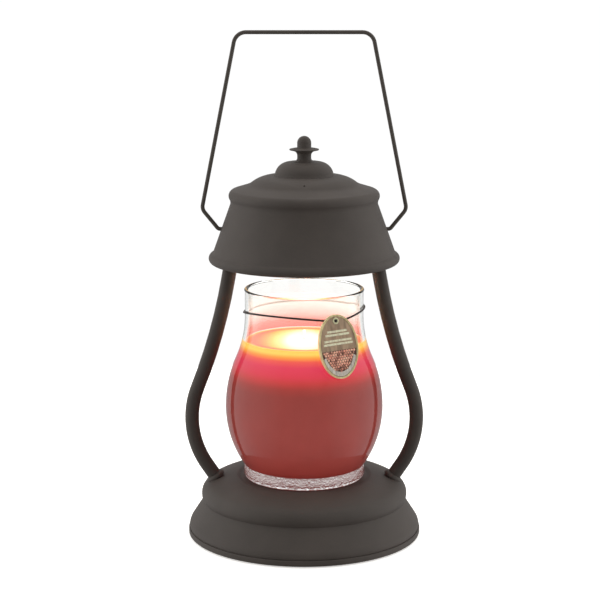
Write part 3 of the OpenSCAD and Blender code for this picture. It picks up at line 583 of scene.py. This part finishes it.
def steel(name, colour, roughness, brush):
    """Bare or plated steel sheet and fasteners."""
    # Rolled or barrelled metal: fine scratches one way and a soft broken shine.
    finish, tree, where = open_material(name)
    along = add(tree, "Mapping", {"Vector": where, "Scale": (1.0, 8.0, 8.0)})
    scratches = noise(tree, along.outputs[0], brush, 4.0)
    spots = noise(tree, where, 9 * MM, 3.0)
    tone = tones(tree, spots, colour, 0.85, 1.05)
    dull = fitted(tree, scratches, 0.3, 0.7, roughness - 0.06, roughness + 0.08)
    skin(tree, tone, dull, Metallic=1.0, Normal=relief(tree, scratches, 0.15, 0.05 * MM))
    return finish


def moulded(name, colour, roughness, ior, grain):
    """Moulded rubber or plastic, or fired ceramic."""
    # A fine skin left by the mould or the kiln: an even colour with a slight mottle and a soft sheen.
    finish, tree, where = open_material(name)
    mottle = noise(tree, where, grain, 3.0)
    tone = tones(tree, mottle, colour, 0.9, 1.08)
    skin(tree, tone, roughness, IOR=ior, Normal=relief(tree, mottle, 0.25, 0.08 * MM))
    return finish


def pressed_felt(name, colour):
    """Pressed wool felt."""
    # Tangled fibres with no direction: a dull nap with a faint pale sheen at grazing light.
    finish, tree, where = open_material(name)
    fibres = noise(tree, where, 0.9 * MM, 6.0, Distortion=1.5)
    tone = tones(tree, fibres, colour, 0.6, 1.5)
    skin(tree, tone, 0.95, Sheen_Weight=0.3, Normal=relief(tree, fibres, 0.8, 0.4 * MM))
    return finish


def twisted_cord(name, colour, pitch, glow=0.0):
    """Textile-covered elastic or braided cotton."""
    # Yarns laid at a slant round the cord: fine oblique ribs and no gloss.
    finish, tree, where = open_material(name)
    waves = {"Vector": where, "Scale": 0.314 / pitch, "Distortion": 1.0, "Detail": 1.0}
    yarns = add(tree, "TexWave", waves, bands_direction="DIAGONAL").outputs["Fac"]
    tone = tones(tree, yarns, colour, 0.6, 1.35, ends=(0.1, 0.9))
    ribs = relief(tree, yarns, 0.6, 0.15 * MM)
    # An emission of glow paints light onto the cord, as on the lamp-lit wick
    skin(tree, tone, 0.8, Sheen_Weight=0.2, Emission_Color=colour, Emission_Strength=glow, Normal=ribs)
    return finish


def jar_glass(colour, dimple):
    """Clear pressed soda-lime glass."""
    # Bright and colourless with thin dark edges; the mould's stippled heel sparkles.
    finish, tree, where = open_material("jar_soda_lime_glass")
    height = add(tree, "SeparateXYZ", {"Vector": where}).outputs["Z"]
    heel = fitted(tree, height, 57.0 * MM, 54.5 * MM)
    dimples = cells(tree, where, dimple, 0.9).outputs["Distance"]
    stipple = relief(tree, maths(tree, "MULTIPLY", dimples, heel), 1.0, 0.28 * MM)
    waves = noise(tree, where, 22 * MM, 1.0)
    uneven = relief(tree, waves, 0.15, 0.3 * MM, Normal=stipple)
    glass_skin(tree, colour, 0.0, Normal=uneven)
    return finish


def lens_glass(light):
    """Pressed clear glass of the bulb's lens and capsule, lit from inside."""
    # A bright warm face with a soft pattern of ribs.
    finish, tree, where = open_material("bulb_lit_lens_glass")
    ribs = cells(tree, where, 3.2 * MM).outputs["Distance"]
    pattern = relief(tree, ribs, 0.5, 0.4 * MM)
    glass_skin(tree, srgb("#FFFFFF"), 0.12, Emission_Color=light, Emission_Strength=1.6, Normal=pattern)
    return finish


def candle_wax(colour):
    """Dyed paraffin wax, warmed by the lamp, with the lamp's light from above painted in as emission."""
    # Dull and dense, with painted lamplight: white in the lamp's beam, then yellow and orange,
    # a painted glow of rose and red as far as the light sinks in, and brick below that.
    finish, tree, where = open_material("dyed_wax_with_painted_lamplight")

    # How far the light has gone: over the pool to its edge, and then down the side
    height = add(tree, "SeparateXYZ", {"Vector": where}).outputs["Z"]
    over = maths(tree, "MINIMUM", distance(tree, where, (1.0, 1.0, 0.0)), 47 * MM)
    gone = maths(tree, "ADD", over, maths(tree, "SUBTRACT", WAX_Z * MM, height))

    # Inside the pool the painted hot spot is long from front to back; near the edge it gives way to painted
    # rings
    spot = distance(tree, where, (1.0, 0.4, 0.0), shift=(0, 2 * MM, 0))
    at_edge = fitted(tree, gone, 38 * MM, 45 * MM)
    way = add(tree, "Mix", {0: at_edge, 2: spot, 3: gone}, data_type="FLOAT").outputs[0]

    # Painted lamplight colours at distances in millimetres
    pool = [(0, "#FFFFFA"), (13, "#FFFCE8"), (18.7, "#FFE890"), (25, "#FAC654"), (30, "#EE9A4C")]
    edge = [(36, "#DC7658"), (41, "#D86E50"), (44, "#F09C4A"), (46.2, "#FFD262"), (50, "#FFD65C")]
    side = [(52.6, "#F09C38"), (55.5, "#DC5044"), (60, "#CC2850"), (66.5, "#C42240")]
    deep = [(70.6, "#AC2228"), (75.7, "#781C17"), (81, "#5C1A15")]
    reach = 90
    stops = [(place / reach, srgb(code)) for place, code in pool + edge + side + deep]
    tone = tones(tree, noise(tree, where, 18 * MM, 3.0), colour, 0.93, 1.07)
    # The painted lamplight, given as emission
    glow = ramp(tree, fitted(tree, way, 0.0, reach * MM), stops)
    skin(tree, tone, 0.5, IOR=1.44, Emission_Color=glow, Emission_Strength=1.0)
    return finish


def wax_film_painted_glow():
    """The faint film of melted wax and mist inside the jar's neck, with the lamp's light on it painted in."""
    # Milky, with a painted red glow close over the wax, paler and thinner higher up, and thickest at the far
    # side, as painted light.
    finish, tree, where = open_material("wax_film_and_painted_glow_in_neck")
    parts = add(tree, "SeparateXYZ", {"Vector": where})
    up = fitted(tree, parts.outputs["Z"], WAX_Z * MM, RIM_Z * MM)
    tints = [(0.0, "#D8604E"), (0.16, "#DE7462"), (0.34, "#F0B4A4"), (0.5, "#FBF0E8")]
    tint = ramp(tree, up, [(place, srgb(code)) for place, code in tints])
    thickness = greys(tree, up, [(0.0, 0.55), (0.15, 0.5), (0.32, 0.28), (0.47, 0.26), (0.75, 0.24)])
    far = fitted(tree, parts.outputs["Y"], -30 * MM, 5 * MM, first=0.06)
    veil = maths(tree, "MULTIPLY", far, thickness)
    # The tint, given as emission, paints the lamp's glow onto the film
    skin(tree, tint, 0.6, Alpha=veil, Emission_Color=tint, Emission_Strength=0.6)
    return finish


def tag_metal(name, colour, metallic, roughness, grain):
    """Printed and lacquered tinplate."""
    # Thin printed metal: satin, with a fine rolled grain and slightly uneven lacquer.
    finish, tree, where = open_material(name)
    place = {"Vector": where, "Location": TAG_PLACE.translation, "Rotation": TAG_PLACE.to_euler()[:]}
    local = add(tree, "Mapping", place, vector_type="TEXTURE")
    drawn = add(tree, "Mapping", {"Vector": local.outputs[0], "Scale": (1.0, 1.0, 0.25)})
    lines = noise(tree, drawn.outputs[0], grain, 3.0)
    tone = tones(tree, lines, colour, 0.72, 1.3)
    skin(tree, tone, roughness, Metallic=metallic, Normal=relief(tree, lines, 0.3, 0.08 * MM))
    return finish


def bead_enamel(colour):
    """Glossy enamel beads in several reds."""
    # Each bead has its own tone, from salmon to dark red, and a small highlight.
    finish, tree, where = open_material("tag_bead_enamel")
    cell = cells(tree, where, 2.1 * MM).outputs["Color"]
    one = add(tree, "SeparateColor", {"Color": cell}).outputs["Red"]
    levels = [(0.0, 0.18), (0.3, 0.7), (0.55, 1.1), (1.0, 1.7)]
    tone = ramp(tree, one, [(place, shade(colour, level)) for place, level in levels])
    skin(tree, tone, 0.3, IOR=1.5)
    return finish


def studio_paper(name, colour):
    """Seamless paper under and behind the lantern."""
    # Plain, matt and almost white, with a tooth that is only just there; lit through from below.
    finish, tree, where = open_material(name)
    tooth = noise(tree, where, 2.5 * MM, 2.0)
    fibres = relief(tree, tooth, 0.05, 0.1 * MM)
    skin(tree, colour, 0.9, Emission_Color=colour, Emission_Strength=0.55, Normal=fibres)
    return finish


def coat():
    """The powder coat, made once and shared."""
    name, scene = "polyester_powder_coat", bpy.context.scene
    made = bpy.data.materials.get(name)
    return made or powder_coat(name, scene.lantern_colours.coat, scene.lantern_sizes.coat_grain)


def coated(piece, node):
    """Gives a finished piece of the lantern's body the powder coat."""
    settle(piece, "lantern", "powder_coat", [coat()], node)


# ---- Operators: one for each piece or group of like pieces ----


class LANTERN_OT_base(bpy.types.Operator):
    """Spin the base with its jar recess, its rim and its felt"""

    bl_idname = "lantern.base"
    bl_label = "Base"

    def execute(self, context):
        pan = lathe("base_pan", base_outline(), steps=180, wall=context.scene.lantern_sizes.base_wall)
        coated(pan, "base_shell")

        screws = [(SCREW_RING * math.cos(a), SCREW_RING * math.sin(a)) for a in SCREW_TURNS]
        screw_hole, head_hole = 1.65 * MM, 4.2 * MM
        rim = lathe("base_rim", rim_outline(), steps=180)
        drill(rim, [(x, y, 3.8) for x, y in screws], screw_hole, 4 * MM)
        coated(rim, "base_plate")

        felt = lathe("felt_ring", felt_outline(), steps=120)
        drill(felt, [(x, y, 1.6) for x, y in screws], head_hole, 6 * MM)
        settle(felt, "lantern", "felt", [pressed_felt("pressed_wool_felt", srgb("#26241F"))], "felt_pad")
        return {"FINISHED"}


class LANTERN_OT_arms(bpy.types.Operator):
    """Bend the two arm tubes and seat them in their collars, with the flex in the right one"""

    bl_idname = "lantern.arms"
    bl_label = "Arms and collars"

    def execute(self, context):
        # The tube stands a little up its collar
        raised = 1.5
        low = (FOOT[0] + raised * math.sin(FOOT_LEAN), FOOT[1] + raised * math.cos(FOOT_LEAN))
        path = [low, *ARM_CORNERS, ARM_TOP]
        radius = context.scene.lantern_sizes.tube_radius
        right = bent_rod("bent_tube_right", path, [0, *ARM_BENDS, 0], radius)
        left = mirrored(right, "bent_tube_left")
        coated(right, "arm_right")
        coated(left, "arm_left")

        collar = lathe("foot_collar_right", collar_outline(), steps=64)
        seat = Matrix.Translation(Vector((FOOT[0], 0, FOOT[1])) * MM)
        put(collar, seat @ Matrix.Rotation(FOOT_LEAN, 4, "Y"))
        twin = mirrored(collar, "foot_collar_left")
        coated(collar, "arm_collar_right")
        coated(twin, "arm_collar_left")

        # The flex goes straight on past both ends of the tube, then turns level to the middle
        enter, leave = 12.8, SEAT_Z + 3.5
        below = (FOOT[0] - (FOOT[1] - enter) * math.tan(FOOT_LEAN), enter)
        above = (ARM_TOP[0] - (leave - ARM_TOP[1]) * math.tan(ARM_TOP_LEAN), leave)
        path = [(38, enter), below, *ARM_CORNERS, above, (10, leave)]
        flex = bent_rod("flex_in_arm", path, [0, 10, *ARM_BENDS, 8, 0], 2.2 * MM, sides=20)
        finish = moulded("white_pvc_sheath", srgb("#E9E6DE"), 0.45, 1.53, 1.5 * MM)
        settle(flex, "lantern", "white_plastic", [finish], "lamp_lead")
        return {"FINISHED"}


class LANTERN_OT_hood(bpy.types.Operator):
    """Spin the hood, drill its vent and pivot holes, and turn the finial"""

    bl_idname = "lantern.hood"
    bl_label = "Hood and finial"

    def execute(self, context):
        sizes = context.scene.lantern_sizes
        hood = lathe("spun_hood", hood_outline(), steps=180, wall=sizes.hood_wall)
        drill(hood, [VENT], sizes.vent_radius, 14 * MM)
        skirt_r, play = 64, 0.05 * MM
        pivots = [(side * skirt_r, 0, PIVOT_Z) for side in (-1, 1)]
        drill(hood, pivots, sizes.wire_radius + play, 10 * MM, rotation=(0, math.pi / 2, 0))
        coated(hood, "shade")

        finial = lathe("turned_finial", finial_outline(), steps=96)
        coated(finial, "finial")
        return {"FINISHED"}


class LANTERN_OT_handle(bpy.types.Operator):
    """Bend the wire handle"""

    bl_idname = "lantern.handle"
    bl_label = "Wire handle"

    def execute(self, context):
        sizes, colours = context.scene.lantern_sizes, context.scene.lantern_colours
        # From its end inside the hood, out past the skirt and up to the grip
        half = [(59.2, PIVOT_Z), (66.6, PIVOT_Z), (79.2, 259.5), (52.1, 395)]
        corners = [(-x, z) for x, z in half] + half[::-1]
        bends = [0, 3, 7, 9.5]
        wire = bent_rod("handle_wire", corners, bends + bends[::-1], sizes.wire_radius, sides=24)
        finish = powder_coat("painted_steel_wire", colours.wire, 5 * MM)
        settle(wire, "handle", "black_wire", [finish], "bail")
        return {"FINISHED"}


class LANTERN_OT_bulb(bpy.types.Operator):
    """Spin the reflector bulb's glass body and its lens"""

    bl_idname = "lantern.bulb"
    bl_label = "Bulb"

    def execute(self, context):
        bowl = lathe("bulb_bowl", bowl_outline(), steps=96, wall=1.4 * MM)
        finish = steel("aluminised_reflector_glass", srgb("#E9E4D6"), 0.18, 4 * MM)
        settle(bowl, "bulb", "reflector", [finish], "bulb_reflector")

        lens = lathe("bulb_front_lens", lens_outline(), steps=96)
        settle(lens, "bulb", "lens_glass", [lens_glass(context.scene.lantern_colours.lamplight)], "bulb_lens")
        return {"FINISHED"}


def blow_jar(sizes, colours):
    """The jar, from under its foot over its lip and down inside."""
    under = [(0, 47.4), (30, 47.3), (38, 46.9), (41.5, 46.25), (43.0, 46.02)]
    lip = arc((45.6, RIM_Z - 1.3), 1.3, 10, 170, 14)
    outline = under + jar_outline() + lip + jar_well(sizes.glass_wall / MM)
    glass = lathe("jar_glass_body", outline, steps=192, sharp=40)
    settle(glass, "candle", "jar_glass", [jar_glass(colours.glass, sizes.stipple)], "jar")


def pour_wax(sizes, colours):
    """The wax with its melted pool."""
    # It goes a hair into the glass, so that no film of air shines between them
    hair = 0.05
    poured = [p for p in jar_well(sizes.glass_wall / MM - hair) if p[1] < WAX_Z - 0.2]
    pool = [(0, -0.75), (1.6, -0.6), (12, -0.65), (26, -0.6), (38, -0.5), (44, -0.35), (46.2, -0.15)]
    top = [(r, z + WAX_Z) for r, z in pool] + [(47.62, WAX_Z - 0.05)]
    wax = lathe("poured_wax", top + poured, steps=160)
    settle(wax, "candle", "wax", [candle_wax(colours.wax)], "wax")
    # The real glow is faint beside the studio light, so it doesn't light the matt coat
    wax.visible_diffuse = False


def film_neck_painted_glow(sizes):
    """A thin film on the inside of the jar's neck, carrying a painted lamp glow."""
    gap = 0.12
    inside = beside(jar_outline(), -sizes.glass_wall / MM - gap)
    neck = [p for p in inside if WAX_Z + 0.5 < p[1] < 187]
    film = lathe("wax_film_and_painted_glow_on_glass", neck, steps=96, wall=0.08 * MM)
    settle(film, "candle", "wax", [wax_film_painted_glow()])


def set_wick():
    """The wick, from the jar's floor up through the wax, with painted lamplight on it as emission."""
    strand = [(0, 55.3), (1.15, 55.3), (1.2, 70), (1.2, 162), (1.1, 163.4), (0.7, 164.1), (0, 164.2)]
    wick = lathe("braided_wick", strand, steps=24)
    cotton = twisted_cord("braided_cotton_painted_glow", srgb("#FFF6E4"), 1.2 * MM, glow=0.9)
    settle(wick, "candle", "wick_cotton", [cotton], "wick")


def stretch_band(sizes, colours):
    """The elastic round the neck, lifted at the front left and at the right side."""
    band = lathe("elastic_cord", arc((BAND_RING, 0), sizes.band_radius / MM, 0, 360, 16), steps=200)
    # Each lift: degrees from the front towards +X, millimetres up and millimetres of reach
    for turn, lift, spread in ((-34, 4.4, 46), (86, 2.6, 34)):
        spot = Vector((math.sin(math.radians(turn)), -math.cos(math.radians(turn)), 0)) * BAND_RING * MM
        bpy.ops.object.mode_set(mode="EDIT")
        bpy.ops.mesh.select_all(action="DESELECT")
        bpy.ops.object.mode_set(mode="OBJECT")
        for corner in band.data.vertices:
            corner.select = (corner.co - spot).length < 1.2 * MM
        bpy.ops.object.mode_set(mode="EDIT")
        bpy.ops.transform.translate(
            value=(0, 0, lift * MM),
            use_proportional_edit=True,
            proportional_edit_falloff="INVERSE_SQUARE",
            proportional_size=spread * MM,
        )
        bpy.ops.object.mode_set(mode="OBJECT")
    put(band, BAND_PLACE)
    elastic = twisted_cord("covered_elastic", colours.elastic, 1.4 * MM)
    settle(band, "candle", "elastic", [elastic], "neck_band")


class LANTERN_OT_candle(bpy.types.Operator):
    """Blow the jar, pour the wax, set the wick and stretch the elastic round the neck"""

    bl_idname = "lantern.candle"
    bl_label = "Jar candle"

    def execute(self, context):
        sizes, colours = context.scene.lantern_sizes, context.scene.lantern_colours
        blow_jar(sizes, colours)
        pour_wax(sizes, colours)
        film_neck_painted_glow(sizes)
        set_wick()
        stretch_band(sizes, colours)
        return {"FINISHED"}


def tag_point(x, z, y=TAG_FACE):
    """A point on the tag's face or at another depth, from its own millimetres."""
    return Vector((x, y, z)) * MM


def press_plate(colours):
    """The oval plate: a gilt rim with a groove round two lacquered fields."""
    gold = tag_metal("gilt_tinplate", colours.tag_gold, 0.25, 0.35, 1.2 * MM)
    lacquer = tag_metal("brown_lacquered_tinplate", colours.tag_lacquer, 0.35, 0.4, 2.4 * MM)
    under_beads = tag_metal("red_lacquered_tinplate", shade(colours.tag_bead, 0.16), 0.2, 0.45, 1.5 * MM)

    plate = open_mesh("tag_disc")
    middle = tag_point(0, TAG_MIDDLE, TAG_BACK)
    bpy.ops.mesh.primitive_circle_add(
        vertices=96, radius=MM, fill_type="NGON", location=middle, rotation=(math.pi / 2, 0, 0)
    )
    bpy.ops.transform.resize(value=(TAG_HALF[0], 1, TAG_HALF[1]), center_override=middle)
    extrude(Vector((0, -2.2, 0)) * MM)
    # The rim, a groove in it, and the field sunk behind it: millimetres inwards and forwards
    for inwards, forwards in ((0.45, 0), (0.1, -0.3), (0.25, 0), (0.1, 0.3), (0.4, 0), (0.1, -0.6)):
        bpy.ops.mesh.inset(thickness=inwards * MM, depth=forwards * MM)
    bpy.ops.mesh.bisect(plane_co=tag_point(0, TAG_FIELD, 0), plane_no=(0, 0, 1))
    close_mesh(plate)
    drill(plate, [(0, TAG_FACE, 0)], 1.95 * MM, 8 * MM, rotation=(math.pi / 2, 0, 0))
    settle(plate, "tag", "tag_gold", [gold, lacquer, under_beads], "tag_plate")
    for face in plate.data.polygons:
        if abs(face.center.y / MM - TAG_FACE) < 0.06 and abs(face.normal.y) > 0.9:
            face.material_index = 1 if face.center.z / MM > TAG_FIELD else 2
    put(plate, TAG_PLACE)


def raise_ribs():
    """Four rounded ribs across the brown field, each with its height and half its width."""
    ribs = open_mesh("tag_ribs")
    for z, reach in ((-8.0, 8.4), (-10.6, 10.2), (-15.0, 12.0), (-17.6, 12.6)):
        bpy.ops.mesh.primitive_cylinder_add(
            vertices=16,
            radius=0.85 * MM,
            depth=2 * reach * MM,
            location=tag_point(0, z),
            rotation=(0, math.pi / 2, 0),
        )
        bpy.ops.transform.resize(value=(1, 0.6, 1), center_override=tag_point(0, z))
    close_mesh(ribs, sharp=60)
    apply(ribs, "BEVEL", width=0.25 * MM, segments=3, limit_method="ANGLE", angle_limit=math.radians(60))
    pale = tag_metal("pale_gilt_tinplate", srgb("#F6E8C4"), 0.1, 0.4, 1.0 * MM)
    settle(ribs, "tag", "tag_gold", [pale])
    put(ribs, TAG_PLACE)


def in_oval(x, z, half_x, half_z):
    """Whether a point is inside an oval round the tag's middle."""
    return (x / half_x) ** 2 + ((z - TAG_MIDDLE) / half_z) ** 2 < 1


def set_beads(sizes, colours):
    """Rows of beads that fill the red field down to the hem."""
    beads = open_mesh("tag_beads")
    step = 2.15 * sizes.bead_radius / MM
    for row in range(10):
        z = TAG_FIELD - 1.2 - row * step * 0.87
        for column in range(-9, 10):
            x = (column + row % 2 / 2) * step
            # Beside the hem's upper ends a bead may stand nearer the rim
            if in_oval(x, z, 14.1, 21.8) and (in_oval(x, z, 13.1, 19.0) or z > -27):
                bpy.ops.mesh.primitive_uv_sphere_add(
                    segments=10, ring_count=6, radius=sizes.bead_radius, location=tag_point(x, z)
                )
                bpy.ops.transform.resize(value=(1, 0.55, 1), center_override=tag_point(x, z))
    close_mesh(beads, sharp=80)
    settle(beads, "tag", "tag_gold", [bead_enamel(colours.tag_bead)])
    put(beads, TAG_PLACE)


def raise_hem():
    """A raised strip along the bottom of the oval, with every other panel standing proud."""
    hem = open_mesh("tag_hem")
    first, sweep, panels = 202, 136, 68
    turns = [math.radians(first + sweep * i / panels) for i in range(panels + 1)]
    draw([tag_point(15.0 * math.cos(a), TAG_MIDDLE + 22.7 * math.sin(a), TAG_FACE + 0.1) for a in turns])
    extrude((0, 0, 0))
    bpy.ops.transform.resize(value=(0.86, 1, 0.845), center_override=tag_point(0, TAG_MIDDLE, TAG_BACK))
    bpy.ops.mesh.select_all(action="SELECT")
    extrude(Vector((0, -0.4, 0)) * MM)
    close_mesh(hem)
    bpy.ops.object.mode_set(mode="EDIT")
    bpy.ops.mesh.select_mode(type="FACE")
    bpy.ops.mesh.select_all(action="DESELECT")
    bpy.ops.object.mode_set(mode="OBJECT")
    fronts = [face for face in hem.data.polygons if face.normal.y < -0.9]
    for face in sorted(fronts, key=lambda f: math.atan2(f.center.x, -f.center.z))[::2]:
        face.select = True
    bpy.ops.object.mode_set(mode="EDIT")
    bpy.ops.mesh.inset(thickness=0.12 * MM, depth=0.25 * MM, use_individual=True)
    close_mesh(hem)
    grey = tag_metal("grey_lacquered_tinplate", srgb("#DCD3C8"), 0.2, 0.5, 1.0 * MM)
    settle(hem, "tag", "tag_gold", [grey])
    put(hem, TAG_PLACE)


def roll_eyelet():
    """The eyelet: a barrel through the plate with a rolled flange in front."""
    barrel = [(1.1, 1.45), (1.55, 1.45), (2.0, 1.7), (2.0, 3.3), (2.5, 3.38), (2.62, 3.6)]
    flange = [(2.5, 3.85), (2.1, 3.98), (1.6, 3.9), (1.25, 3.6), (1.1, 3.2), (1.1, 1.45)]
    eyelet = lathe("tag_eyelet_ring", barrel + flange, steps=40, sharp=50)
    put(eyelet, HOOK_PLACE @ turned(90, "X"))
    brass = tag_metal("polished_brass", srgb("#F7EABA"), 0.3, 0.32, 1.0 * MM)
    settle(eyelet, "tag", "eyelet_brass", [brass], "tag_eyelet")


def tie_loop(colours):
    """Two strands bent over the elastic, and their cord through the eyelet to a knot."""
    loop = open_mesh("tag_cord_loop")
    start = Vector((0, -1.35, 0.0)) * MM
    for side in (-0.75, 0.75):
        here = Vector((side, 0, 0)) * MM
        bpy.ops.mesh.select_all(action="DESELECT")
        bpy.ops.mesh.primitive_circle_add(vertices=12, radius=0.42 * MM, location=start + here)
        bpy.ops.mesh.spin(steps=24, angle=math.radians(-200), center=here, axis=(1, 0, 0))
    bpy.ops.mesh.select_all(action="DESELECT")
    bpy.ops.mesh.primitive_circle_add(
        vertices=16, radius=0.95 * MM, location=Vector((0, -1.3, 0)) * MM, rotation=(math.pi / 2, 0, 0)
    )
    extrude(Vector((0, -2.6, 0)) * MM)
    bpy.ops.mesh.primitive_torus_add(
        location=Vector((0, -3.95, 0)) * MM,
        rotation=(math.radians(78), 0, 0),
        major_radius=0.6 * MM,
        minor_radius=0.45 * MM,
        major_segments=20,
        minor_segments=10,
    )
    fill_ends()
    close_mesh(loop)
    put(loop, HOOK_PLACE)
    cord = twisted_cord("waxed_tag_cord", colours.elastic, 0.8 * MM)
    settle(loop, "tag", "elastic", [cord], "tag_loop")


class LANTERN_OT_tag(bpy.types.Operator):
    """Press the oval tag, dress its face, and hang it on the elastic by its eyelet"""

    bl_idname = "lantern.tag"
    bl_label = "Hang tag"

    def execute(self, context):
        sizes, colours = context.scene.lantern_sizes, context.scene.lantern_colours
        press_plate(colours)
        raise_ribs()
        set_beads(sizes, colours)
        raise_hem()
        roll_eyelet()
        tie_loop(colours)
        return {"FINISHED"}


class LANTERN_OT_fittings(bpy.types.Operator):
    """Finish the fittings that keep the shape of the model's own parts"""

    bl_idname = "lantern.fittings"
    bl_label = "Fittings"

    def execute(self, context):
        finishes = {
            "plain_steel": steel("cold_rolled_steel", srgb("#8F8F8C"), 0.42, 1.5 * MM),
            "zinc_plate": steel("bright_zinc_plate", srgb("#C8C9C6"), 0.3, 1.0 * MM),
            "contact_brass": steel("sprung_brass", srgb("#C9A45A"), 0.3, 1.0 * MM),
            "rubber": moulded("black_rubber", srgb("#232120"), 0.75, 1.52, 0.8 * MM),
            "white_plastic": moulded("white_polyamide", srgb("#E6E3DA"), 0.5, 1.53, 1.2 * MM),
            "steatite": moulded("unglazed_steatite", srgb("#E4DDCB"), 0.7, 1.58, 0.7 * MM),
            "lens_glass": bpy.data.materials["bulb_lit_lens_glass"],
        }
        slots = {part["node"]: part["material_slot"] for part in frame["record"]["subparts"]}
        for name, node in frame["nodes"].items():
            if not node.hide_render:
                for i in range(len(node.data.materials)):
                    node.data.materials[i] = finishes[slots[name]]
        return {"FINISHED"}


def lay_floor():
    """A wide disc of paper under the lantern."""
    floor = open_mesh("studio_floor")
    inner = 0.6
    bpy.ops.mesh.primitive_circle_add(vertices=96, radius=inner, fill_type="NGON")
    for reach in (2.0, 8.0, 30.0):
        bpy.ops.mesh.inset(thickness=reach - inner, depth=0, use_outset=True)
    select_none()
    floor.data.materials.append(studio_paper("seamless_paper", srgb("#F4F2EF")))
    # The tent's lower half lights the lantern from below in the floor's place
    floor.visible_diffuse = floor.visible_glossy = False


def pitch_tent(scene):
    """A white tent, brightest at the sides, behind and above, dim round the camera and below."""
    scene.world = bpy.data.worlds.new("white_tent")
    scene.world.use_nodes = True
    tree = scene.world.node_tree
    tree.nodes.clear()
    parts = add(tree, "SeparateXYZ", {"Vector": add(tree, "TexCoord").outputs["Generated"]})
    side = add(tree, "Math", {0: parts.outputs["X"]}, operation="ABSOLUTE").outputs[0]
    sides = greys(tree, fitted(tree, side, 0.0, 1.0), [(0.0, 0.17), (0.5, 0.24), (0.78, 0.85), (1.0, 1.5)])
    back = fitted(tree, parts.outputs["Y"], -1.0, 1.0)
    behind = greys(tree, back, [(0.45, 0.0), (0.65, 0.45), (0.85, 0.9)])
    above = greys(tree, fitted(tree, parts.outputs["Z"], -1.0, 1.0), [(0.6, 0.0), (1.0, 0.6)])
    tent = sides
    for part in (behind, above):
        both = {"Fac": 1.0, "Color1": tent, "Color2": part}
        tent = add(tree, "MixRGB", both, blend_type="ADD").outputs[0]

    # Reflections show the tent weaker, and a straight look at it or through glass shows plain white
    path = add(tree, "LightPath")
    strength = fitted(tree, path.outputs["Is Glossy Ray"], 0.0, 1.0, 1.25, 0.4)
    light = add(tree, "Background", {"Color": tent, "Strength": strength})
    seen = add(tree, "Background", {"Color": (1, 1, 1, 1), "Strength": 1.02})
    straight = maths(tree, "MAXIMUM", path.outputs["Is Camera Ray"], path.outputs["Is Transmission Ray"])
    either = add(tree, "MixShader", {0: straight, 1: light.outputs[0], 2: seen.outputs[0]})
    add(tree, "OutputWorld", {"Surface": either.outputs[0]})


def light_lamp(scene):
    """The bulb's warm beam, from a disc just under its lens."""
    lamp = bpy.data.lights.new("lamp_beam", "AREA")
    lamp.shape = "DISK"
    lamp.size = 40 * MM
    lamp.energy = 0.12
    lamp.color = scene.lantern_colours.lamplight[:3]
    lamp.spread = math.radians(64)
    beam = bpy.data.objects.new("lamp_beam", lamp)
    beam.location = (0, 0, (SEAT_Z - BULB_DROP - 0.6) * MM)
    scene.collection.objects.link(beam)


def set_camera(scene):
    """A long lens a little above the lantern, looking slightly down."""
    camera = bpy.data.objects.new("photo_camera", bpy.data.cameras.new("photo_camera"))
    camera.location = (0, -1.375, 0.450)
    camera.rotation_euler = (math.radians(79.2), 0, 0)
    camera.data.lens = 107.4
    camera.data.sensor_width = 36
    camera.data.shift_x = -0.0070
    scene.collection.objects.link(camera)
    scene.camera = camera


class LANTERN_OT_stage(bpy.types.Operator):
    """Lay the pale floor, light the studio and the lamp, and set the camera"""

    bl_idname = "lantern.stage"
    bl_label = "Stage"

    def execute(self, context):
        context.scene.view_settings.view_transform = "Standard"
        lay_floor()
        pitch_tent(context.scene)
        light_lamp(context.scene)
        set_camera(context.scene)
        return {"FINISHED"}


OPERATORS = (
    LANTERN_OT_stage,
    LANTERN_OT_base,
    LANTERN_OT_arms,
    LANTERN_OT_hood,
    LANTERN_OT_handle,
    LANTERN_OT_bulb,
    LANTERN_OT_candle,
    LANTERN_OT_tag,
    LANTERN_OT_fittings,
)


class LANTERN_PT_pieces(bpy.types.Panel):
    """Lists the lantern's sizes, colours and pieces"""

    bl_idname = "LANTERN_PT_pieces"
    bl_label = "Candle Warmer Lantern"
    bl_space_type = "VIEW_3D"
    bl_region_type = "UI"
    bl_category = "Lantern"

    def draw(self, context):
        for group in (context.scene.lantern_sizes, context.scene.lantern_colours):
            column = self.layout.column()
            for name in group.bl_rna.properties.keys():
                if name not in ("rna_type", "name"):
                    column.prop(group, name)
        column = self.layout.column()
        for operator in OPERATORS:
            column.operator(operator.bl_idname)


CLASSES = (LanternSizes, LanternColours, *OPERATORS, LANTERN_PT_pieces)


def register():
    for kind in CLASSES:
        bpy.utils.register_class(kind)
    bpy.types.Scene.lantern_sizes = bpy.props.PointerProperty(type=LanternSizes)
    bpy.types.Scene.lantern_colours = bpy.props.PointerProperty(type=LanternColours)


def unregister():
    del bpy.types.Scene.lantern_colours
    del bpy.types.Scene.lantern_sizes
    for kind in reversed(CLASSES):
        bpy.utils.unregister_class(kind)


def main():
    """Builds the lantern piece by piece."""
    register()
    for operator in OPERATORS:
        getattr(bpy.ops.lantern, operator.bl_idname.split(".")[1])()


if __name__ == "__main__":
    main()
